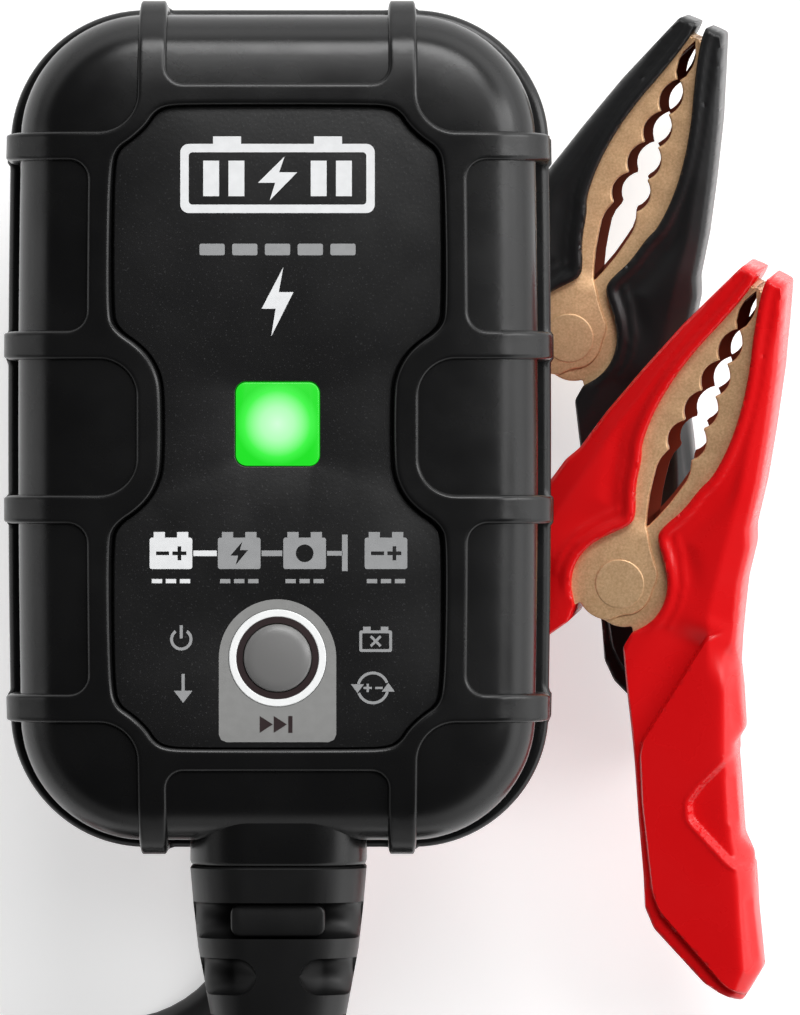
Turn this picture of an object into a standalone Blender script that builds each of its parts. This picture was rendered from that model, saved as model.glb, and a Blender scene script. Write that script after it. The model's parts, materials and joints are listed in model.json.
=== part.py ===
"""Plug-in car battery charger: a two-shell body on two outlet blades, with its cable and two spring clamps.

Lengths below are in millimetres, and MM turns them into metres. The frame's origin is the centre of the
face that meets the wall outlet, between the blades. +Z points from the outlet to the charger's front,
+Y to its top and +X to the right of someone facing it. The charger lies face up on its blades, on a
surface at z = FLOOR_Z, with both clamps beside and under it.
"""

import math

import bmesh
import bpy
from mathutils import Matrix, Vector

MM = 0.001

# Outlet face, blades and the surface that the blades stand on
BLADE_LENGTH = 17.5
BLADE_WIDTH = 6.35
BLADE_THICKNESS = 1.5
BLADE_SPACING = 12.7
BLADE_INNER_Z = 14.2
FLOOR_Z = -BLADE_LENGTH
BOSS_HALF = 11.5
BOSS_RADIUS = 5.0

# Body, measured from its own centre, which lies below the outlet's centre
BODY_Y = -24.0
REAR_Z = 7.0
DEPTH = 33.0
FRONT_Z = REAR_Z + DEPTH
REAR_HALF = (29.2, 45.2)
FRONT_HALF = (27.9, 44.4)
CORNER_RADIUS = 13.0
SIDE_BOW = 0.6
WALL = 2.0
SEAM_LOW = REAR_Z + 14.7
SEAM_HIGH = SEAM_LOW + 1.5
CAVITY_TOP = FRONT_Z - 4.8
CAVITY_BOTTOM = REAR_Z + WALL
GAP = 0.3

# Raised bands on the front, with sunk panels between them
BAND_SINK = 0.6
BAND_Y = (8.8, 30.1)
BAND_X = 13.35
BAND_WIDTH = 3.1

# Display recess and what sits in it
RECESS_FLOOR = FRONT_Z - 2.8
OVERLAY_TOP = FRONT_Z - 1.3
LENS_HALF = 4.45
LENS_CENTRE = (0.0, 0.35)
BUTTON_CENTRE = (0.0, -24.7)
BUTTON_RADIUS = 3.62
RING_INNER = 4.43
RING_OUTER = 5.2

# Circuit board
BOARD_LOW = REAR_Z + 19.2
BOARD_HIGH = BOARD_LOW + 1.6
BOARD_HALF = (24.6, 41.0)

# Case screws
SCREW_AT = (19.5, 34.0)
SCREW_SHAFT = 1.3
SCREW_HEAD = 2.7
SCREW_SEAT_Z = REAR_Z + 10.2
SCREW_TIP_Z = SCREW_SEAT_Z + 15.0

# Neck and strain relief at the bottom
CABLE_Z = REAR_Z + 21.0
NECK_HALF = (9.5, 9.6)
NECK_END = -47.1
BOOT_END = -80.0

# Clamps: pivot in body coordinates, turn from +Y clockwise, and height of the pivot above the surface.
# Each leans on what lies under it, so its plane climbs by "slope" towards CLAMP_UPHILL.
CLAMP_THICKNESS = 10.0
JAW_THICKNESS = 8.0
PLATE = 1.0
LOBE_RADIUS = 4.9
LOBE_CLEARANCE = 5.6
RIVET_RADIUS = 1.5
RIVET_HEAD = 2.7
CLAMPS = {
    "black": {"pivot": (32.4, 10.6), "turn": 23.1, "height": 11.9, "slope": 0.14},
    "red": {"pivot": (38.0, -16.5), "turn": 25.2, "height": 22.3, "slope": 0.21},
}
CLAMP_UPHILL = (0.8, 0.6)

# Cords
CABLE_DIAMETER = 5.5
LEAD_DIAMETER = 3.8
COIL_CENTRE = (-4.0, -119.5)
COIL_RADIUS = 30.0
COIL_COLUMNS = 4
COIL_ROWS = 3
SPLITTER_FOOT = (-51.0, -125.5)
SPLITTER_LENGTH = 24.0
LEAD_SPREAD = 2.6


# Scene, materials and mesh helpers

def clear_scene():
    for item in list(bpy.data.objects):
        bpy.data.objects.remove(item, do_unlink=True)


def make_material(name, colour, roughness, metallic=0.0, alpha=1.0):
    material = bpy.data.materials.new(name)
    material.use_nodes = True
    shader = material.node_tree.nodes["Principled BSDF"]
    shader.inputs["Base Color"].default_value = (*colour, 1.0)
    shader.inputs["Roughness"].default_value = roughness
    shader.inputs["Metallic"].default_value = metallic
    shader.inputs["Alpha"].default_value = alpha
    material.diffuse_color = (*colour, alpha)
    return material


def add_empty(name, location, rotation=None):
    empty = bpy.data.objects.new(name, None)
    bpy.context.scene.collection.objects.link(empty)
    empty.location = Vector(location) * MM
    if rotation:
        empty.rotation_euler = rotation.to_euler()
    return empty


def clamp_rotation(place):
    """Turned clockwise about the vertical, then leaned so that the clamp's plane climbs uphill."""
    tilt_axis = Vector((CLAMP_UPHILL[1], -CLAMP_UPHILL[0], 0.0))
    lean = Matrix.Rotation(math.atan(place["slope"]), 3, tilt_axis)
    return lean @ Matrix.Rotation(math.radians(-place["turn"]), 3, "Z")


def add_mesh(name, points, faces, material=None, parent=None):
    mesh = bpy.data.meshes.new(name)
    mesh.from_pydata([Vector(point) * MM for point in points], [], faces)
    body = bmesh.new()
    body.from_mesh(mesh)
    bmesh.ops.recalc_face_normals(body, faces=body.faces)
    if body.calc_volume(signed=True) < 0:
        bmesh.ops.reverse_faces(body, faces=body.faces)
    body.to_mesh(mesh)
    body.free()
    item = bpy.data.objects.new(name, mesh)
    bpy.context.scene.collection.objects.link(item)
    if material:
        mesh.materials.append(material)
    item.parent = parent
    return item


def loft(name, sections, material=None, parent=None):
    """A closed solid through equal rings of 3-D points, capped at both ends."""
    count = len(sections[0])
    points = [point for ring in sections for point in ring]
    faces = [list(range(count)), list(range(len(points) - count, len(points)))]
    for level in range(len(sections) - 1):
        for i in range(count):
            low = level * count
            after = (i + 1) % count
            faces.append([low + i, low + after, low + count + after, low + count + i])
    return add_mesh(name, points, faces, material, parent)


def prism(name, outline, z_low, z_high, material=None, parent=None):
    rings = [[(x, y, z) for x, y in outline] for z in (z_low, z_high)]
    return loft(name, rings, material, parent)


def arc(centre, radius, start, end, steps):
    angles = [math.radians(start + (end - start) * i / steps) for i in range(steps + 1)]
    return [(centre[0] + radius * math.cos(a), centre[1] + radius * math.sin(a)) for a in angles]


def circle(centre, radius, steps=32):
    return arc(centre, radius, 0.0, 360.0, steps)[:-1]


def rounded_rectangle(half_x, half_y, radius, centre=(0.0, 0.0), steps=6):
    points = []
    for quarter, (sx, sy) in enumerate(((1, 1), (-1, 1), (-1, -1), (1, -1))):
        corner = (centre[0] + sx * (half_x - radius), centre[1] + sy * (half_y - radius))
        points += arc(corner, radius, 90 * quarter, 90 * quarter + 90, steps)
    return points


def cylinder(name, centre, radius, z_low, z_high, material=None, parent=None, steps=32):
    return prism(name, circle(centre, radius, steps), z_low, z_high, material, parent)


def combine(item, tool, operation):
    """Cut a tool out of an item, or unite them, and drop the tool."""
    modifier = item.modifiers.new(operation.lower(), "BOOLEAN")
    modifier.operation = operation
    modifier.solver = "EXACT"
    modifier.object = tool
    bpy.context.view_layer.update()
    shape = item.evaluated_get(bpy.context.evaluated_depsgraph_get())
    result = bpy.data.meshes.new_from_object(shape)
    item.modifiers.clear()
    item.data = result
    bpy.data.objects.remove(tool, do_unlink=True)


def cut(item, *tools):
    for tool in tools:
        combine(item, tool, "DIFFERENCE")


def unite(item, *tools):
    for tool in tools:
        combine(item, tool, "UNION")


# Body outlines

def body_outline(half, inset=0.0):
    """The rounded rectangle of a shell, whose long sides bow outwards a little at mid height."""
    half_x = half[0] - SIDE_BOW - inset
    half_y = half[1] - inset
    radius = CORNER_RADIUS - inset
    points = rounded_rectangle(half_x, half_y, radius)
    straight = half_y - radius
    levels = [straight * i / 3 for i in range(-2, 3)]
    left = [(-half_x, -y) for y in levels]
    right = [(half_x, y) for y in levels]
    corner = len(points) // 4
    ring = points[:2 * corner] + left + points[2 * corner:] + right
    return [(x * (1 + SIDE_BOW / half_x * (1 - (y / half_y) ** 2)), y) for x, y in ring]


def mirrored(quarter):
    """A closed outline from its upper right quarter, listed from the right side to the top."""
    top = [(-x, y) for x, y in reversed(quarter)]
    low_left = [(-x, -y) for x, y in quarter]
    low_right = [(x, -y) for x, y in reversed(quarter)]
    return quarter + top + low_left + low_right


def recess_outline(inset=0.0):
    """The display recess: waisted at mid height and chamfered by an S curve at each corner."""
    quarter = [
        (12.2, 3.8), (12.6, 5.8), (13.6, 7.7), (15.1, 9.1), (16.2, 9.8), (17.2, 10.8), (17.6, 12.0),
        (17.5, 28.2), (16.9, 29.9), (15.5, 30.8), (13.9, 32.3), (13.2, 33.5), (12.0, 34.3),
    ]
    return mirrored([(x - inset, y - inset * (y / 34.3)) for x, y in quarter])


def panel_outlines():
    """Sunk panels between the raised bands, each running out past the edge of the body."""
    outer = 40.0
    far = 60.0
    low_band, high_band = BAND_Y
    half_band = BAND_WIDTH / 2
    panels = []
    for side in (-1, 1):
        middle = [(14.8, -low_band + half_band), (outer, -low_band + half_band)]
        middle += [(outer, low_band - half_band), (14.8, low_band - half_band)]
        panels.append([(side * x, y) for x, y in middle])
        for end in (-1, 1):
            beside = [(20.0, low_band + half_band), (outer, low_band + half_band)]
            beside += [(outer, high_band - half_band), (20.0, high_band - half_band)]
            panels.append([(side * x, end * y) for x, y in beside])
            corner = [(BAND_X + half_band, 36.4), (18.0, high_band + half_band)]
            corner += [(outer, high_band + half_band), (outer, far), (BAND_X + half_band, far)]
            panels.append([(side * x, end * y) for x, y in corner])
    for end in (-1, 1):
        centre = [(-BAND_X + half_band, 36.8), (BAND_X - half_band, 36.8)]
        centre += [(BAND_X - half_band, far), (-BAND_X + half_band, far)]
        panels.append([(x, end * y) for x, y in centre])
    return panels


def neck_half(z_low, z_high, name):
    """One half of the neck that holds the strain relief, from inside the body to its end face."""
    half = NECK_HALF[0]
    outline = [(-half, NECK_END), (half, NECK_END), (half, -40.0), (-half, -40.0)]
    return prism(name, outline, z_low, z_high)


def add_box(name, x_range, y_range, z_range, material=None, parent=None):
    left, right = x_range
    low, high = y_range
    outline = [(left, low), (right, low), (right, high), (left, high)]
    return prism(name, outline, z_range[0], z_range[1], material, parent)


def screw_places():
    return [(sx * SCREW_AT[0], sy * SCREW_AT[1]) for sy in (1, -1) for sx in (-1, 1)]


# Body pieces

def build_front_housing(material, parent):
    profile = [(SEAM_HIGH, 0.0), (FRONT_Z - 4.2, 0.0), (FRONT_Z - 2.1, 0.7)]
    profile += [(FRONT_Z - 0.8, 2.0), (FRONT_Z, 4.6)]
    rings = [[(x, y, z) for x, y in body_outline(FRONT_HALF, inset)] for z, inset in profile]
    shell = loft("front_housing", rings, material)
    unite(shell, neck_half(SEAM_HIGH, CABLE_Z + NECK_HALF[1], "neck"))
    for outline in panel_outlines():
        cut(shell, prism("sunk_panel", outline, FRONT_Z - BAND_SINK, FRONT_Z + 5.0))
    cut(shell, prism("recess", recess_outline(), RECESS_FLOOR, FRONT_Z + 5.0))
    cut(shell, prism("cavity", body_outline(FRONT_HALF, WALL), SEAM_HIGH - 5.0, CAVITY_TOP))
    for place in screw_places():
        unite(shell, cylinder("screw_boss", place, 2.8, SEAM_HIGH, CAVITY_TOP + 1.0, steps=20))
        hole = cylinder("screw_hole", place, SCREW_SHAFT + GAP, SEAM_HIGH - 1.0, SCREW_TIP_Z + 1.0, steps=16)
        cut(shell, hole)
    lens_hole = rounded_rectangle(LENS_HALF + GAP, LENS_HALF + GAP, 1.4, LENS_CENTRE, steps=3)
    cut(shell, prism("lens_hole", lens_hole, CAVITY_TOP - 2.0, FRONT_Z))
    cut(shell, cylinder("ring_hole", BUTTON_CENTRE, RING_OUTER + GAP, CAVITY_TOP - 2.0, FRONT_Z))
    cut(shell, boot_tongue("tongue_hole", GAP))
    shell.parent = parent
    return shell


def build_rear_housing(material, parent):
    profile = [(SEAM_LOW, 0.0), (REAR_Z + 9.0, 0.0), (REAR_Z + 5.0, 1.6)]
    profile += [(REAR_Z + 2.2, 4.6), (REAR_Z, 10.0)]
    rings = [[(x, y, z) for x, y in body_outline(REAR_HALF, inset)] for z, inset in profile]
    shell = loft("rear_housing", rings, material)
    unite(shell, neck_half(CABLE_Z - NECK_HALF[1], SEAM_LOW, "neck"))
    cavity = [(CAVITY_BOTTOM, 9.0), (REAR_Z + 6.0, 4.4), (REAR_Z + 10.0, 3.0), (SEAM_LOW + 5.0, 3.0)]
    hollow = [[(x, y, z) for x, y in body_outline(REAR_HALF, inset)] for z, inset in cavity]
    cut(shell, loft("cavity", hollow))
    for place in screw_places():
        unite(shell, cylinder("screw_column", place, 4.0, REAR_Z + 3.0, SEAM_LOW, steps=20))
        cut(shell, cylinder("head_bore", place, SCREW_HEAD + GAP, REAR_Z - 2.0, SCREW_SEAT_Z, steps=20))
        cut(shell, cylinder("shaft_bore", place, SCREW_SHAFT + GAP, REAR_Z, SEAM_LOW + 1.0, steps=16))
    for side in (-1, 1):
        x = side * BLADE_SPACING / 2
        reach = (BLADE_THICKNESS / 2 + GAP, BLADE_WIDTH / 2 + GAP)
        slot = add_box("blade_slot", (x - reach[0], x + reach[0]),
                       (-BODY_Y - reach[1], -BODY_Y + reach[1]), (REAR_Z - 1.0, CAVITY_BOTTOM + 1.0))
        cut(shell, slot)
    cut(shell, boot_tongue("tongue_hole", GAP))
    shell.parent = parent
    return shell


def build_outlet_boss(material):
    outline = rounded_rectangle(BOSS_HALF, BOSS_HALF, BOSS_RADIUS, steps=5)
    boss = prism("outlet_boss", outline, 0.0, REAR_Z - GAP, material)
    for side in (-1, 1):
        x = side * BLADE_SPACING / 2
        reach = (BLADE_THICKNESS / 2 + GAP, BLADE_WIDTH / 2 + GAP)
        slot = add_box("blade_slot", (x - reach[0], x + reach[0]), (-reach[1], reach[1]), (-1.0, REAR_Z + 1.0))
        cut(boss, slot)
    return boss


def build_blade(name, side, material):
    """A flat outlet blade with a tapered tip, running through the boss into the body."""
    x = side * BLADE_SPACING / 2
    half = BLADE_WIDTH / 2
    profile = [(-half, BLADE_INNER_Z), (half, BLADE_INNER_Z), (half, FLOOR_Z + 1.6), (half - 1.4, FLOOR_Z)]
    profile += [(-half + 1.4, FLOOR_Z), (-half, FLOOR_Z + 1.6)]
    sides = (x - BLADE_THICKNESS / 2, x + BLADE_THICKNESS / 2)
    rings = [[(face_x, y, z) for y, z in profile] for face_x in sides]
    return loft(name, rings, material)


def build_gasket(material, parent):
    outer = body_outline(FRONT_HALF, 0.3)
    gasket = prism("seam_gasket", outer, SEAM_LOW + GAP, SEAM_HIGH - GAP, material)
    cut(gasket, prism("opening", body_outline(FRONT_HALF, 1.6), SEAM_LOW, SEAM_HIGH))
    cut(gasket, add_box("cable_way", (-NECK_HALF[0], NECK_HALF[0]), (-50.0, -38.0), (SEAM_LOW, SEAM_HIGH)))
    gasket.parent = parent
    return gasket


def build_overlay(material, parent):
    plate = prism("overlay_panel", recess_outline(0.3), RECESS_FLOOR + GAP, OVERLAY_TOP, material)
    hole = rounded_rectangle(LENS_HALF + GAP, LENS_HALF + GAP, 1.4, LENS_CENTRE, steps=3)
    cut(plate, prism("lens_hole", hole, RECESS_FLOOR, FRONT_Z))
    cut(plate, cylinder("ring_hole", BUTTON_CENTRE, RING_OUTER + GAP, RECESS_FLOOR, FRONT_Z))
    plate.parent = parent
    return plate


def build_lens(material, parent):
    outline = rounded_rectangle(LENS_HALF, LENS_HALF, 1.1, LENS_CENTRE, steps=3)
    return prism("status_lens", outline, CAVITY_TOP - 3.0, OVERLAY_TOP + 0.1, material, parent)


def build_light_ring(material, parent):
    top = OVERLAY_TOP + 0.1
    ring = cylinder("button_light_ring", BUTTON_CENTRE, RING_OUTER, CAVITY_TOP - 3.0, top, material)
    cut(ring, cylinder("bore", BUTTON_CENTRE, RING_INNER, CAVITY_TOP - 5.0, FRONT_Z))
    ring.parent = parent
    return ring


def build_button(material, parent):
    """A round cap, slightly domed, with a stem that reaches down to the switch."""
    turned = [(0.0, OVERLAY_TOP + 0.45), (1.8, OVERLAY_TOP + 0.35)]
    turned += [(BUTTON_RADIUS - 0.3, OVERLAY_TOP + 0.1), (BUTTON_RADIUS, OVERLAY_TOP - 0.2)]
    turned += [(BUTTON_RADIUS, CAVITY_TOP), (1.5, CAVITY_TOP)]
    turned += [(1.5, BOARD_HIGH + 4.3), (0.0, BOARD_HIGH + 4.3)]
    return turned_solid("mode_button", turned, BUTTON_CENTRE, material, parent)


def turned_solid(name, profile, centre, material, parent=None, steps=28):
    """A solid of revolution about a vertical line, from a profile that starts and ends on it."""
    points = [(centre[0], centre[1], profile[0][1])]
    for radius, z in profile[1:-1]:
        points += [(x, y, z) for x, y in circle(centre, radius, steps)]
    points.append((centre[0], centre[1], profile[-1][1]))
    last = len(points) - 1
    faces = []
    for i in range(steps):
        after = (i + 1) % steps
        faces.append([0, 1 + i, 1 + after])
        for level in range(len(profile) - 3):
            low = 1 + level * steps
            faces.append([low + i, low + steps + i, low + steps + after, low + after])
        low = last - steps
        faces.append([last, low + after, low + i])
    return add_mesh(name, points, faces, material, parent)


def build_board(material, parent):
    board = prism("circuit_board", rounded_rectangle(*BOARD_HALF, 9.0), BOARD_LOW, BOARD_HIGH, material)
    for place in screw_places():
        cut(board, cylinder("boss_hole", place, 3.2, BOARD_LOW - 1.0, BOARD_HIGH + 1.0, steps=20))
    cut(board, add_box("cable_notch", (-9.0, 9.0), (-50.0, -38.0), (BOARD_LOW - 1.0, BOARD_HIGH + 1.0)))
    board.parent = parent
    return board


def lying_cylinder(name, start, end, radius, material, parent, steps=20):
    """A cylinder between two points."""
    axis = (Vector(end) - Vector(start)).normalized()
    side = axis.cross(Vector((0, 0, 1))).normalized()
    up = side.cross(axis)
    rings = []
    for point in (start, end):
        ring = [Vector(point) + side * x + up * z for x, z in circle((0, 0), radius, steps)]
        rings.append(ring)
    return loft(name, rings, material, parent)


def build_board_parts(colours, parent):
    under = BOARD_LOW - GAP
    low = REAR_Z + 4.6
    transformer = add_box("transformer", (-20.0, 3.0), (-20.0, 4.0), (low, under), colours["winding"])
    core = add_box("core", (-16.0, -1.0), (-22.5, 6.5), (low + 2.0, under - 2.5))
    unite(transformer, core)
    transformer.parent = parent
    bottom, top = (-15.5, 9.5, under - 6.0), (-15.5, 28.5, under - 6.0)
    lying_cylinder("input_capacitor", bottom, top, 6.0, colours["capacitor"], parent)
    cylinder("output_capacitor", (7.5, -31.0), 5.0, low, under, colours["capacitor"], parent, steps=24)
    choke = cylinder("filter_choke", (15.8, 22.0), 6.0, under - 8.0, under, colours["winding"], steps=24)
    cut(choke, cylinder("bore", (15.8, 22.0), 2.4, under - 9.0, under + 1.0, steps=24))
    choke.parent = parent
    left, right = (-9.0, 36.0, under - 2.6), (9.0, 36.0, under - 2.6)
    lying_cylinder("fuse", left, right, 2.6, colours["fuse"], parent, steps=16)
    sink = add_box("heat_sink", (8.0, 20.0), (-22.0, 8.0), (under - 3.0, under), colours["aluminium"])
    for x in (8.0, 11.5, 15.0, 18.5):
        unite(sink, add_box("fin", (x, x + 1.5), (-22.0, 8.0), (low, under - 2.5)))
    sink.parent = parent
    above = BOARD_HIGH + GAP
    add_box("status_led", (-1.6, 1.6), (LENS_CENTRE[1] - 1.6, LENS_CENTRE[1] + 1.6), (above, above + 1.6),
            colours["led"], parent)
    switch = add_box("tact_switch", (-3.1, 3.1), (BUTTON_CENTRE[1] - 3.1, BUTTON_CENTRE[1] + 3.1),
                     (above, above + 1.8), colours["switch"])
    unite(switch, cylinder("plunger", BUTTON_CENTRE, 1.6, above + 1.0, above + 3.0, steps=16))
    switch.parent = parent


def build_screw(name, place, material, parent):
    turned = [(0.0, SCREW_SEAT_Z - GAP), (SCREW_HEAD, SCREW_SEAT_Z - GAP), (SCREW_HEAD, SCREW_SEAT_Z - 2.4)]
    turned += [(SCREW_HEAD - 0.6, SCREW_SEAT_Z - 3.0), (0.0, SCREW_SEAT_Z - 3.0)]
    screw = turned_solid(name, turned, place, material, steps=16)
    unite(screw, cylinder("shaft", place, SCREW_SHAFT, SCREW_SEAT_Z - 1.0, SCREW_TIP_Z, steps=12))
    cross = (3.0, 0.5)
    for half_x, half_y in (cross, cross[::-1]):
        cut(screw, add_box("drive", (place[0] - half_x / 2, place[0] + half_x / 2),
                           (place[1] - half_y / 2, place[1] + half_y / 2),
                           (SCREW_SEAT_Z - 4.0, SCREW_SEAT_Z - 1.8)))
    screw.parent = parent
    return screw


def boot_section(y, half_x, half_z, radius):
    return [(x, y, CABLE_Z + z) for x, z in rounded_rectangle(half_x, half_z, radius, steps=4)]


def boot_tongue(name, margin):
    """The strain relief's inner tongue and flange, which the two shells close on."""
    tongue = loft(name, [boot_section(-38.0 - margin, 5.6 + margin, 4.6 + margin, 2.0),
                         boot_section(NECK_END - 1.0, 5.6 + margin, 4.6 + margin, 2.0)])
    return tongue


def build_strain_relief(material, parent):
    """A tapered rubber boot with two rows of bending slots."""
    steps = [(-47.4, 9.5, 9.4), (-51.0, 9.2, 9.1), (-56.0, 8.65, 8.5), (-62.8, 7.4, 7.3), (-71.0, 5.8, 5.7)]
    steps += [(BOOT_END, 4.4, 4.4)]
    boot = loft("strain_relief", [boot_section(y, hx, hz, 0.62 * hz) for y, hx, hz in steps], material)
    unite(boot, loft("tongue", [boot_section(-41.0, 5.6, 4.6, 2.0), boot_section(-48.0, 5.6, 4.6, 2.0)]))
    unite(boot, loft("flange", [boot_section(-38.6, 7.6, 6.2, 2.0), boot_section(-41.7, 7.6, 6.2, 2.0)]))
    for y_high, y_low, inner in ((-51.0, -54.7, 5.0), (-57.0, -61.0, 2.4), (-63.2, -66.6, 3.8)):
        for side in (-1, 1):
            for level in (-1, 1):
                x_range = sorted((side * inner, side * 12.0))
                z_range = sorted((CABLE_Z + level * 3.4, CABLE_Z + level * 12.0))
                cut(boot, add_box("slot", x_range, (y_low, y_high), z_range))
    boot.parent = parent
    return boot


# Clamps: x to the right and y towards the tips, from the pivot; the right half, which the left mirrors

COVER_OUTER = [
    (2.5, 37.8), (5.8, 29.0), (7.8, 22.4), (9.4, 16.6), (10.4, 11.7), (11.3, 9.8), (12.1, 5.8), (14.4, -0.8),
    (19.0, -9.1), (18.8, -11.0), (20.3, -13.6), (23.8, -20.0), (25.7, -21.2), (28.7, -26.9), (32.1, -32.5),
    (31.7, -36.6),
]
COVER_END = [(29.2, -36.7), (27.1, -36.4), (19.5, -33.3), (17.6, -31.6)]
COVER_INNER = [(15.9, -28.3), (12.8, -22.9), (9.9, -17.6), (5.9, -10.7), (3.3, -6.1), (3.5, -4.3)]
COVER_BESIDE_JAW = [
    (4.9, -2.5), (5.5, -0.1), (4.9, 2.5), (3.2, 4.8), (1.8, 6.3), (1.5, 7.5), (3.0, 10.6), (3.6, 13.6),
    (4.4, 15.3), (4.6, 20.2), (3.6, 26.2), (1.6, 32.3), (0.6, 36.3), (0.6, 37.8),
]
JAW_OUTER = [
    (0.9, 36.2), (2.7, 32.2), (4.8, 26.3), (6.0, 20.2), (6.0, 15.3), (5.8, 10.6), (6.1, 6.2), (7.5, 0.5),
    (8.9, -4.2), (13.5, -16.1),
]
JAW_TAIL = [(10.4, -17.1), (5.6, -7.0)]
TOOTH_TIPS = (31.2, 27.2, 23.4, 19.6, 15.9)
TOOTH_DEPTH = 1.3
BITE_GAP = 0.25


def jaw_teeth():
    """The biting edge, from the crotch to the tip: round scallops between sharp teeth."""
    points = [(1.7, 6.6), (1.1, 8.6), (1.3, 11.0), (1.3, 13.6)]
    rising = sorted(TOOTH_TIPS)
    for low, high in zip(rising, rising[1:]):
        for i in range(4):
            share = i / 4
            points.append((BITE_GAP + TOOTH_DEPTH * math.sin(math.pi * share), low + (high - low) * share))
    return points + [(BITE_GAP, rising[-1]), (0.8, 32.6), (BITE_GAP, 36.2)]


def jaw_outline(margin=0.0):
    lobe = arc((0.0, 0.0), LOBE_RADIUS + margin, -50.0, -300.0, 18)
    outer = [(x + margin, y) for x, y in JAW_OUTER]
    outer[0] = (outer[0][0], outer[0][1] + margin)
    outer[-1] = (outer[-1][0], outer[-1][1] - margin)
    tail = [(x - margin, y - margin / 2) for x, y in JAW_TAIL]
    teeth = [(x - margin, y) for x, y in jaw_teeth()]
    teeth[-1] = (teeth[-1][0], teeth[-1][1] + margin)
    return outer + tail + lobe + teeth


def sided(outline, side):
    return [(side * x, y) for x, y in outline]


def build_jaw(name, side, is_outer, material, parent):
    """A stamped channel: two toothed plates joined by a web along the outer edge.

    The outer jaw's lobes hold the pivot from outside, and the other jaw's lobes step inwards between them.
    """
    half = JAW_THICKNESS / 2
    inside = half - PLATE
    lobe_top = inside - GAP
    jaw = prism(name, sided(jaw_outline(), side), -half, half, material)
    web_side = [(x - PLATE, y) for x, y in JAW_OUTER]
    web_side[0] = (web_side[0][0], JAW_OUTER[0][1] - PLATE)
    channel = web_side + [(9.5, -30.0), (-12.0, -30.0), (-12.0, JAW_OUTER[0][1] - PLATE)]
    if is_outer:
        cut(jaw, prism("channel", sided(channel, side), -inside, inside))
        cut(jaw, cylinder("lobe_room", (0.0, 0.0), LOBE_CLEARANCE, -inside, inside))
    else:
        forward = [point for point in web_side if point[1] > 7.0]
        forward += [(5.0, 7.0), (-12.0, 7.0), (-12.0, JAW_OUTER[0][1] - PLATE)]
        cut(jaw, prism("channel", sided(forward, side), -inside, inside))
        cut(jaw, prism("low_channel", sided(channel, side), PLATE - lobe_top, lobe_top - PLATE))
        for level in (-1, 1):
            z_range = sorted((level * lobe_top, level * (half + 1.0)))
            cut(jaw, cylinder("lobe_room", (0.0, 0.0), LOBE_CLEARANCE, *z_range))
    cut(jaw, cylinder("pivot_hole", (0.0, 0.0), RIVET_RADIUS + GAP, -half - 1.0, half + 1.0, steps=24))
    jaw.parent = parent
    return jaw


def build_cover(name, side, material, parent):
    """The insulating sleeve of one half: handle, waist and nose, hollow where the jaw sits."""
    half = CLAMP_THICKNESS / 2
    bevel = 1.2
    outline = COVER_OUTER + COVER_END + COVER_INNER + COVER_BESIDE_JAW
    cover = prism(name, sided(outline, side), -half, half, material)
    room = JAW_THICKNESS / 2 + GAP
    cut(cover, prism("jaw_room", sided(jaw_outline(GAP), side), -room, room))
    cut(cover, cylinder("lobe_room", (0.0, 0.0), LOBE_RADIUS + GAP, -half - 1.0, half + 1.0))
    for level in (-1, 1):
        grip = [(17.6, -14.0), (20.5, -16.6), (23.0, -21.8), (19.0, -20.6)]
        z_range = sorted((level * (half - bevel), level * (half + 1.0)))
        cut(cover, prism("finger_rest", sided(grip, side), *z_range))
    cover.parent = parent
    return cover


def build_rivet(name, material, parent):
    top = JAW_THICKNESS / 2 + GAP
    rivet = cylinder(name, (0.0, 0.0), RIVET_RADIUS, -top - 0.3, top + 0.3, material, steps=24)
    for level in (-1, 1):
        z_range = sorted((level * top, level * (top + 0.6)))
        unite(rivet, cylinder("head", (0.0, 0.0), RIVET_HEAD, *z_range, steps=24))
    rivet.parent = parent
    return rivet


def build_spring(name, material, parent):
    """The torsion spring's coil round the rivet, between the jaws' inner lobes."""
    turns = 2.0
    wire = 0.45
    radius = 3.2
    pitch = 1.1
    steps = 28
    rings = []
    for i in range(steps + 1):
        angle = 2 * math.pi * turns * i / steps
        height = pitch * turns * (i / steps - 0.5)
        out = Vector((math.cos(angle), math.sin(angle), 0.0))
        up = Vector((0.0, 0.0, 1.0))
        centre = out * radius + up * height * 0.9
        rings.append([centre + out * x + up * z for x, z in circle((0, 0), wire, 8)])
    return loft(name, rings, material, parent)


def build_clamp(colour_name, materials):
    place = CLAMPS[colour_name]
    centre = (place["pivot"][0], place["pivot"][1] + BODY_Y, FLOOR_Z + place["height"])
    fixed = add_empty(f"{colour_name}_clamp", centre, clamp_rotation(place))
    moving = add_empty(f"{colour_name}_clamp_hinge", centre, clamp_rotation(place))
    plastic = materials[f"{colour_name}_plastic"]
    build_cover(f"{colour_name}_cover_left", -1, plastic, fixed)
    build_cover(f"{colour_name}_cover_right", 1, plastic, moving)
    build_jaw(f"{colour_name}_jaw_left", -1, True, materials["copper"], fixed)
    build_jaw(f"{colour_name}_jaw_right", 1, False, materials["copper"], moving)
    build_rivet(f"{colour_name}_pivot_rivet", materials["steel"], fixed)
    build_spring(f"{colour_name}_spring", materials["spring_steel"], fixed)


# Cords

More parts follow.
